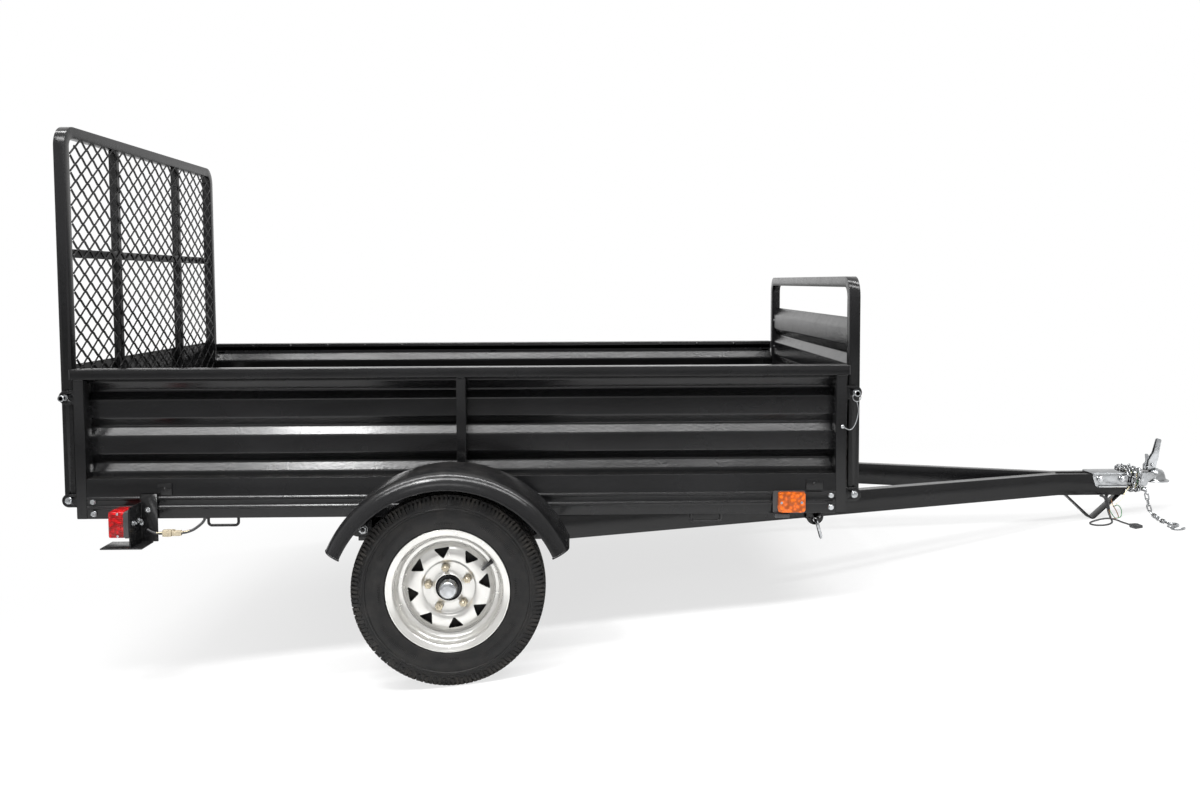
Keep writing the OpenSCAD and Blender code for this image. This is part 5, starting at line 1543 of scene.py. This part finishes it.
class TRAILER_OT_tail_lamps(bpy.types.Operator):
    """Square tail lamps: ribbed red lenses on black bases, in their steel brackets"""
    bl_idname = "trailer.tail_lamps"
    bl_label = "Tail lamps"

    def execute(self, context):
        dress("tail_lamp_brackets", 0.0012)
        low, high = level_box("tail_lamps")
        x0, x1, z0, z1 = low.x, high.x, low.z, high.z
        y1 = high.y
        y0 = y1 - 0.084
        centre_y, centre_z = (y0 + y1) / 2, (z0 + z1) / 2
        bm = bmesh.new()
        put_box(bm, (x0 + 0.001, y0 + 0.001, z0 + 0.001), (x1 - 0.012, y1 - 0.0012, z1 - 0.001), 0.005, 3)
        for k in range(11):
            z = z0 + 0.009 + k * (z1 - z0 - 0.018) / 10
            put_rod(bm, [(x0 + 0.005, y1 - 0.0016, z), (x1 - 0.015, y1 - 0.0016, z)], 0.0014, 6)
            put_rod(bm, [(x0 + 0.0014, y0 + 0.008, z), (x0 + 0.0014, y1 - 0.006, z)], 0.0014, 6)
        put_prism(bm, placed(circle(0.030, 40), centre_y, centre_z), "X", x0 + 0.0002, x0 + 0.004, 0.0012)
        make_piece("tail_lenses", bm, "bed", "red_lens", ("tail_lamps",), mirror=True)
        bm = bmesh.new()
        put_box(bm, (x1 - 0.013, y0, z0), (x1 - 0.0004, y1, z1), 0.003, 3)
        put_box(bm, (x1 - 0.016, y0 - 0.0002, z0 + 0.004), (x1 - 0.010, y1 + 0.0002, z1 - 0.004), 0.002)
        make_piece("tail_lamp_bases", bm, "bed", "black_plastic", mirror=True)
        bm = bmesh.new()
        for z in (z1 - 0.009, z0 + 0.005):
            put_lathe(bm, [(-0.001, 0), (-0.001, 0.0036), (0.0008, 0.0034), (0.0016, 0.0020), (0.0016, 0.0)],
                      ((x0 + x1) / 2 - 0.002, y1 - 0.0006, z + 0.002), (0, 1, 0), 20)
        for x, z in ((x1 + 0.0235, z0 + 0.065), (x1 + 0.002, z0 + 0.027)):
            put_bolt(bm, (x, SIDE_Y + 0.0085, z), (0, 1, 0), 0.0042, stud=0.005)
        for y in (y0 + 0.020, y1 - 0.024):
            put_bolt(bm, (x1 + 0.0038, y, centre_z), (1, 0, 0), 0.004, stud=0.006)
        make_piece("tail_lamp_screws", bm, "bed", "zinc_plate", mirror=True)
        return {"FINISHED"}


class TRAILER_OT_marker_lamps(bpy.types.Operator):
    """Amber side markers: ribbed lenses on black plates, with screws and a connector"""
    bl_idname = "trailer.marker_lamps"
    bl_label = "Marker lamps"

    def execute(self, context):
        low, high = level_box("marker_lamps")
        x0, x1, z0, z1, y1 = low.x, high.x, low.z, high.z, high.y
        y0 = BEAD_Y
        bm = bmesh.new()
        outline = rounded([(x0, z0), (x1, z0), (x1, z1), (x0, z1)], 0.007, 5)
        put_prism(bm, outline, "Y", y0 + 0.005, y1 - 0.0012, 0.0035, 3)
        for k in range(15):
            x = x0 + 0.013 + k * (x1 - x0 - 0.026) / 14
            put_rod(bm, [(x, y1 - 0.0016, z0 + 0.007), (x, y1 - 0.0016, z1 - 0.007)], 0.0015, 6,
                    normal=(0, 1, 0))
        put_box(bm, (x0 + 0.030, y1 - 0.003, z0 + 0.018), (x1 - 0.030, y1 - 0.0002, z1 - 0.018), 0.0012)
        make_piece("marker_lenses", bm, "bed", "amber_lens", ("marker_lamps",), mirror=True)
        bm = bmesh.new()
        plate = rounded([(x0 - 0.014, z0 - 0.004), (x1 + 0.002, z0 - 0.004), (x1 + 0.002, z1 + 0.002),
                         (x0 - 0.014, z1 + 0.002)], 0.006, 4)
        put_prism(bm, plate, "Y", y0 - 0.0002, y0 + 0.0062, 0.0015)
        put_box(bm, (x0 - 0.010, y0 + 0.002, z0 - 0.017), (x0 + 0.034, y0 + 0.016, z0 - 0.0045), 0.002)
        for k in range(3):
            x = x0 - 0.006 + 0.010 * k
            put_box(bm, (x, y0 + 0.0155, z0 - 0.0155), (x + 0.006, y0 + 0.0170, z0 - 0.006), 0.0005)
        make_piece("marker_bases", bm, "bed", "black_plastic", mirror=True)
        bm = bmesh.new()
        for x in (x0 + 0.0095, x1 - 0.0110):
            put_lathe(bm, [(-0.001, 0), (-0.001, 0.0037), (0.0008, 0.0035), (0.0016, 0.0022),
                           (0.0010, 0.0008), (0.0010, 0.0)],
                      (x, y1 - 0.0008, (z0 + z1) / 2 - 0.001), (0, 1, 0), 20)
        make_piece("marker_screws", bm, "bed", "zinc_plate", mirror=True)
        return {"FINISHED"}


class TRAILER_OT_lamp_wiring(bpy.types.Operator):
    """Lamp leads with their plug-in connectors and sleeves, into the lower rails"""
    bl_idname = "trailer.lamp_wiring"
    bl_label = "Lamp wiring"

    def execute(self, context):
        low, high = level_box("wire_connectors")
        x0, x1, z0, z1, y1 = low.x, high.x, low.z, high.z, high.y
        y0 = y1 - 0.014
        y, z = (y0 + y1) / 2, (z0 + z1) / 2
        entry_x, entry_y = x1 + 0.0635, y - 0.0215
        bm = bmesh.new()
        put_box(bm, (x0, y0, z0 + 0.001), (x0 + 0.026, y1, z1 - 0.001), 0.0022, 3)
        put_box(bm, (x0 + 0.027, y0 + 0.0012, z0 + 0.003), (x1, y1 - 0.0012, z1 - 0.003), 0.0018, 3)
        put_box(bm, (x0 + 0.010, y0 + 0.004, z1 - 0.002), (x0 + 0.036, y1 - 0.004, z1), 0.0006)
        for k in range(4):
            put_box(bm, (x0 + 0.004 + 0.005 * k, y1 - 0.0004, z0 + 0.004),
                    (x0 + 0.0065 + 0.005 * k, y1 + 0.0004, z1 - 0.004), 0.0002)
        make_piece("lead_connectors", bm, "bed", "beige_plastic", ("wire_connectors",), mirror=True)
        leads = (("black_plastic", 0.0040, (0.0, 0.0)), ("cream_wire", 0.0013, (0.0030, 0.0032)),
                 ("brown_wire", 0.0013, (-0.0026, 0.0034)))
        for i, (name, radius, (dy, dz)) in enumerate(leads):
            bm = bmesh.new()
            tail = smooth_path([
                (x1 - 0.002, y + dy, z + dz), (x1 + 0.014, y + dy - 0.001, z + dz + 0.002),
                (x1 + 0.032, y + dy - 0.005, z + dz + 0.008),
                (x1 + 0.047, y + dy * 0.6 - 0.011, z + dz + 0.018),
                (x1 + 0.058, y + dy * 0.3 - 0.018, z + 0.029),
                (entry_x, entry_y, BED_BOTTOM + 0.001)], 6)
            put_rod(bm, tail if i == 0 else tail[:10], radius, 8, normal=(0, 1, 0))
            lead = smooth_path([
                (x0 + 0.002, y + dy, z + dz), (x0 - 0.008, y + dy, z + dz - 0.001),
                (x0 - 0.018, y + dy, z + dz * 0.6)], 4)
            put_rod(bm, lead, radius, 8, normal=(0, 1, 0))
            make_piece("lamp_leads_" + name, bm, "bed", "black_plastic",
                       ("tail_lamp_wires",) if i == 0 else (), look=name, mirror=True, smooth=60)
        bm = bmesh.new()
        put_lathe(bm, [(-0.001, 0.0), (-0.001, 0.0070), (0.001, 0.0075), (0.0035, 0.0060), (0.0035, 0.0)],
                  (entry_x, entry_y, BED_BOTTOM + 0.0006), (0, 0, -1), 20)
        sleeve = smooth_path([(x0 - 0.0165, y, z), (x0 - 0.024, y, z + 0.001),
                              (x0 - 0.034, y - 0.001, z + 0.004), (x0 - 0.046, y - 0.004, z + 0.010)], 4)
        put_rod(bm, sleeve, 0.0042, 10, normal=(0, 1, 0))
        make_piece("lead_sleeves", bm, "bed", "black_plastic", mirror=True, smooth=60)
        return {"FINISHED"}


# ------------------------------------------------------------------ gates

class TRAILER_OT_ramp_gate(bpy.types.Operator):
    """Ramp gate: bent square tube, bars and lower sheet, with its welds"""
    bl_idname = "trailer.ramp_gate"
    bl_label = "Ramp gate"

    def execute(self, context):
        dress("ramp_frame", 0.0030)
        dress("ramp_bars", 0.0022)
        dress("ramp_lower_panel", 0.0007)
        low, high = RAMP_BARS
        seam_y = GATE_Y - 0.0325
        cross_z, upright_y, half_bar = 1.197, 0.275, 0.0125
        bm = bmesh.new()
        for z in (low.z + half_bar, cross_z):
            for x in (low.x + 0.002, high.x - 0.002):
                put_weld(bm, (x, seam_y, z - 0.011), (x, seam_y, z + 0.011), 0.0024)
        for z in (cross_z - half_bar, cross_z + half_bar):
            for y in (upright_y - half_bar, upright_y + half_bar):
                put_weld(bm, (low.x + 0.003, y, z), (high.x - 0.003, y, z), 0.0022)
        make_piece("ramp_welds", bm, "ramp_gate", "black_paint", mirror=True)
        bm = bmesh.new()
        panel = level_box("ramp_lower_panel")
        for z in (panel[0].z + 0.012, (panel[0].z + panel[1].z) / 2, panel[1].z - 0.016):
            for y in (upright_y, 0.610):
                put_rivet(bm, (panel[0].x, y, z), (-1, 0, 0), 0.005)
        make_piece("ramp_rivets", bm, "ramp_gate", "zinc_plate", mirror=True)
        return {"FINISHED"}


class TRAILER_OT_ramp_mesh(bpy.types.Operator):
    """Expanded steel mesh of the ramp gate"""
    bl_idname = "trailer.ramp_mesh"
    bl_label = "Ramp mesh"

    def execute(self, context):
        sizes = context.scene.trailer_mesh
        low, high = RAMP_MESH
        inner = high.y
        columns = 2 * round(2 * inner / sizes.long_way)
        half_long = 2 * inner / columns
        rows = 2 * round((high.z - low.z) / sizes.short_way)
        half_short = (high.z - low.z) / rows
        swing = half_short / 2 - sizes.strand * 0.42
        corner = 0.0303
        x = low.x + sizes.thickness / 2 + 0.0002
        section = [(-sizes.strand / 2, -sizes.thickness / 2), (sizes.strand / 2, -sizes.thickness / 2),
                   (sizes.strand / 2, sizes.thickness / 2), (-sizes.strand / 2, sizes.thickness / 2)]
        tilt = math.radians(14)
        bm = bmesh.new()

        def inside(y, z):
            """Whether a point is on the gate, whose top corners are round."""
            over_y, over_z = abs(y) - (inner - corner), z - (high.z - corner)
            past = over_y > 0 and over_z > 0 and math.hypot(over_y, over_z) > corner - 0.003
            return abs(y) <= inner and not past

        for row in range(rows):
            middle = low.z + (row + 0.5) * half_short
            points = []
            for k in range(columns + 1):
                up = 1 if (k + row) % 2 else -1
                for dy in (-sizes.bond / 2, sizes.bond / 2):
                    y, z = -inner + k * half_long + dy, middle + up * swing
                    if inside(y, z):
                        points.append((y, z, up))
            rings = []
            for i, (y, z, up) in enumerate(points):
                before, after = points[max(i - 1, 0)], points[min(i + 1, len(points) - 1)]
                ahead = Vector((0, after[0] - before[0], after[1] - before[1])).normalized()
                flat = Vector((1, 0, 0)).cross(ahead).normalized()
                across = flat * math.cos(tilt) + Vector((1, 0, 0)) * math.sin(tilt)
                beside = ahead.cross(across)
                centre = Vector((x + 0.0006 * (1 + up), y, z))
                rings.append([bm.verts.new(centre + across * a + beside * b) for a, b in section])
            for a, b in zip(rings, rings[1:]):
                for k in range(4):
                    bm.faces.new((a[k], a[(k + 1) % 4], b[(k + 1) % 4], b[k]))
            bm.faces.new(rings[0][::-1])
            bm.faces.new(rings[-1])
        make_piece("expanded_mesh", bm, "ramp_gate", "black_paint", ("ramp_mesh",), smooth=20)
        return {"FINISHED"}


class TRAILER_OT_front_gate(bpy.types.Operator):
    """Folding front gate: bent square tube around a corrugated sheet"""
    bl_idname = "trailer.front_gate"
    bl_label = "Front gate"

    def execute(self, context):
        panels = context.scene.trailer_panels
        dress("front_hoop", 0.0030)
        low, high = FRONT_PANEL
        line = corrugated_line(panels, high.z - 0.030, low.z, high.z)
        bm = bmesh.new()
        put_sheet(bm, line, panels.sheet, low.y, high.y,
                  lambda p, y: Vector((low.x + p[0], y, p[1])), cuts=8)
        make_piece("corrugated_front", bm, "front_gate", "black_paint", ("front_panel",), smooth=30)
        bm = bmesh.new()
        for z in (high.z - 0.050, high.z - 0.158, high.z - 0.265):
            put_rivet(bm, (low.x, GATE_Y - 0.048, z), (-1, 0, 0), 0.005)
            put_rivet(bm, (low.x + panels.sheet, GATE_Y - 0.048, z), (1, 0, 0), 0.005)
        make_piece("front_rivets", bm, "front_gate", "zinc_plate", mirror=True)
        bm = bmesh.new()
        seam_x, seam_y = low.x + 0.0022, high.y - 0.0005
        for z in (high.z - 0.060, high.z - 0.170, high.z - 0.280, high.z - 0.380):
            put_weld(bm, (seam_x, seam_y, z), (seam_x, seam_y, z + 0.030), 0.0022)
        make_piece("front_welds", bm, "front_gate", "black_paint", mirror=True)
        return {"FINISHED"}


# ------------------------------------------------------------------ stage

class TRAILER_OT_stage(bpy.types.Operator):
    """Pale floor, white surroundings and soft overhead lamps"""
    bl_idname = "trailer.stage"
    bl_label = "Stage and light"

    def execute(self, context):
        studio = context.scene.trailer_studio
        scene = context.scene
        scene.view_settings.view_transform = "Standard"

        scene.world = bpy.data.worlds.new("studio")
        self.light_world(scene.world, studio.fill)
        material = self.floor_material(studio.floor)
        bm = bmesh.new()
        bmesh.ops.create_grid(bm, x_segments=1, y_segments=1, size=40.0)
        mesh = bpy.data.meshes.new("studio_floor")
        bm.to_mesh(mesh)
        bm.free()
        mesh.materials.append(material)
        floor = bpy.data.objects.new("studio_floor", mesh)
        scene.collection.objects.link(floor)

        strip, lean = studio.strip, math.radians(26)
        for name, place, turn, size, radiance in (
            ("strip before the near side", (-0.1, -1.93, 3.2), lean, (5.2, 0.46), strip),
            ("strip over the bed", (0.0, -0.50, 3.2), 0.0, (5.6, 0.24), strip * 1.5),
            ("bright box", (-1.35, -1.94, 3.1), lean, (0.42, 0.50), strip * 3.6),
            ("low front box", (-1.1, -5.4, 3.2), math.radians(62), (2.4, 0.9), strip * 0.2),
        ):
            data = bpy.data.lights.new(name, "AREA")
            data.shape = "RECTANGLE"
            data.size, data.size_y = size
            data.energy = radiance * math.pi * size[0] * size[1]
            lamp = bpy.data.objects.new(name, data)
            lamp.location = place
            lamp.rotation_euler = (turn, 0, 0)
            scene.collection.objects.link(lamp)
        return {"FINISHED"}

    @staticmethod
    def light_world(world, fill):
        """White to the camera and in reflections and glass, and a soft fill everywhere else."""
        n = Nodes("studio", world)
        back = n.tree.nodes["Background"]
        back.inputs["Color"].default_value = (1, 1, 1, 1)
        ray = n.new("ShaderNodeLightPath").outputs
        seen = n.combine("MAXIMUM", ray["Is Camera Ray"], ray["Is Glossy Ray"])
        seen = n.combine("MAXIMUM", seen, ray["Is Transmission Ray"])
        n.join(n.spread(seen, 0.0, 1.0, fill, 1.0), back.inputs["Strength"])

    @staticmethod
    def floor_material(paleness):
        """Pale floor, lifted to white for the camera away from the trailer's shadow."""
        n = Nodes("studio floor")
        grain = n.new("ShaderNodeTexNoise")
        grain.inputs["Scale"].default_value = 3.0
        tone = n.spread(grain.outputs["Fac"], 0.0, 1.0, paleness - 0.01, paleness)
        n.finish(tone, Roughness=0.9, Specular_IOR_Level=0.1)
        glow = n.new("ShaderNodeEmission")
        glow.inputs["Color"].default_value = (1, 1, 1, 1)
        reach = n.new("ShaderNodeVectorMath", operation="LENGTH")
        n.join(n.place, reach.inputs[0])
        far = n.spread(reach.outputs["Value"], 0.9, 2.9, 0.72, 1.0, "SMOOTHSTEP")
        share = n.times(far, n.new("ShaderNodeLightPath").outputs["Is Camera Ray"])
        mix = n.new("ShaderNodeMixShader")
        for source, target in zip((share, n.shader.outputs["BSDF"], glow.outputs["Emission"]), mix.inputs):
            n.join(source, target)
        n.join(mix.outputs["Shader"], n.tree.nodes["Material Output"].inputs["Surface"])
        return n.material


# ------------------------------------------------------------------ panel and running order

OPERATORS = (
    TRAILER_OT_camera, TRAILER_OT_lamp_cord, TRAILER_OT_safety_chain, TRAILER_OT_drawbar,
    TRAILER_OT_coupler, TRAILER_OT_nose_wiring, TRAILER_OT_axle, TRAILER_OT_fenders,
    TRAILER_OT_tyres, TRAILER_OT_rims, TRAILER_OT_hubs, TRAILER_OT_side_panels,
    TRAILER_OT_bed_frame, TRAILER_OT_underside_fittings, TRAILER_OT_gate_hardware,
    TRAILER_OT_tail_lamps, TRAILER_OT_marker_lamps, TRAILER_OT_lamp_wiring,
    TRAILER_OT_ramp_gate, TRAILER_OT_ramp_mesh, TRAILER_OT_front_gate, TRAILER_OT_stage,
)


class TRAILER_PT_pieces(bpy.types.Panel):
    """Lists the trailer's pieces and their sizes"""
    bl_idname = "TRAILER_PT_pieces"
    bl_label = "Utility Trailer"
    bl_space_type = "VIEW_3D"
    bl_region_type = "UI"
    bl_category = "Trailer"

    def draw(self, context):
        for operator in OPERATORS:
            self.layout.operator(operator.bl_idname)
        for name in SETTINGS:
            box = self.layout.box()
            box.label(text=name.replace("trailer_", "").title())
            group = getattr(context.scene, name)
            for key in group.__annotations__:
                box.prop(group, key)


def register():
    for name, group in SETTINGS.items():
        bpy.utils.register_class(group)
        setattr(bpy.types.Scene, name, bpy.props.PointerProperty(type=group))
    for item in OPERATORS + (TRAILER_PT_pieces,):
        bpy.utils.register_class(item)


def unregister():
    for item in reversed(OPERATORS + (TRAILER_PT_pieces,)):
        bpy.utils.unregister_class(item)
    for name, group in SETTINGS.items():
        delattr(bpy.types.Scene, name)
        bpy.utils.unregister_class(group)


def main():
    register()
    for operator in OPERATORS:
        group, name = operator.bl_idname.split(".")
        getattr(getattr(bpy.ops, group), name)()


if __name__ == "__main__":
    main()
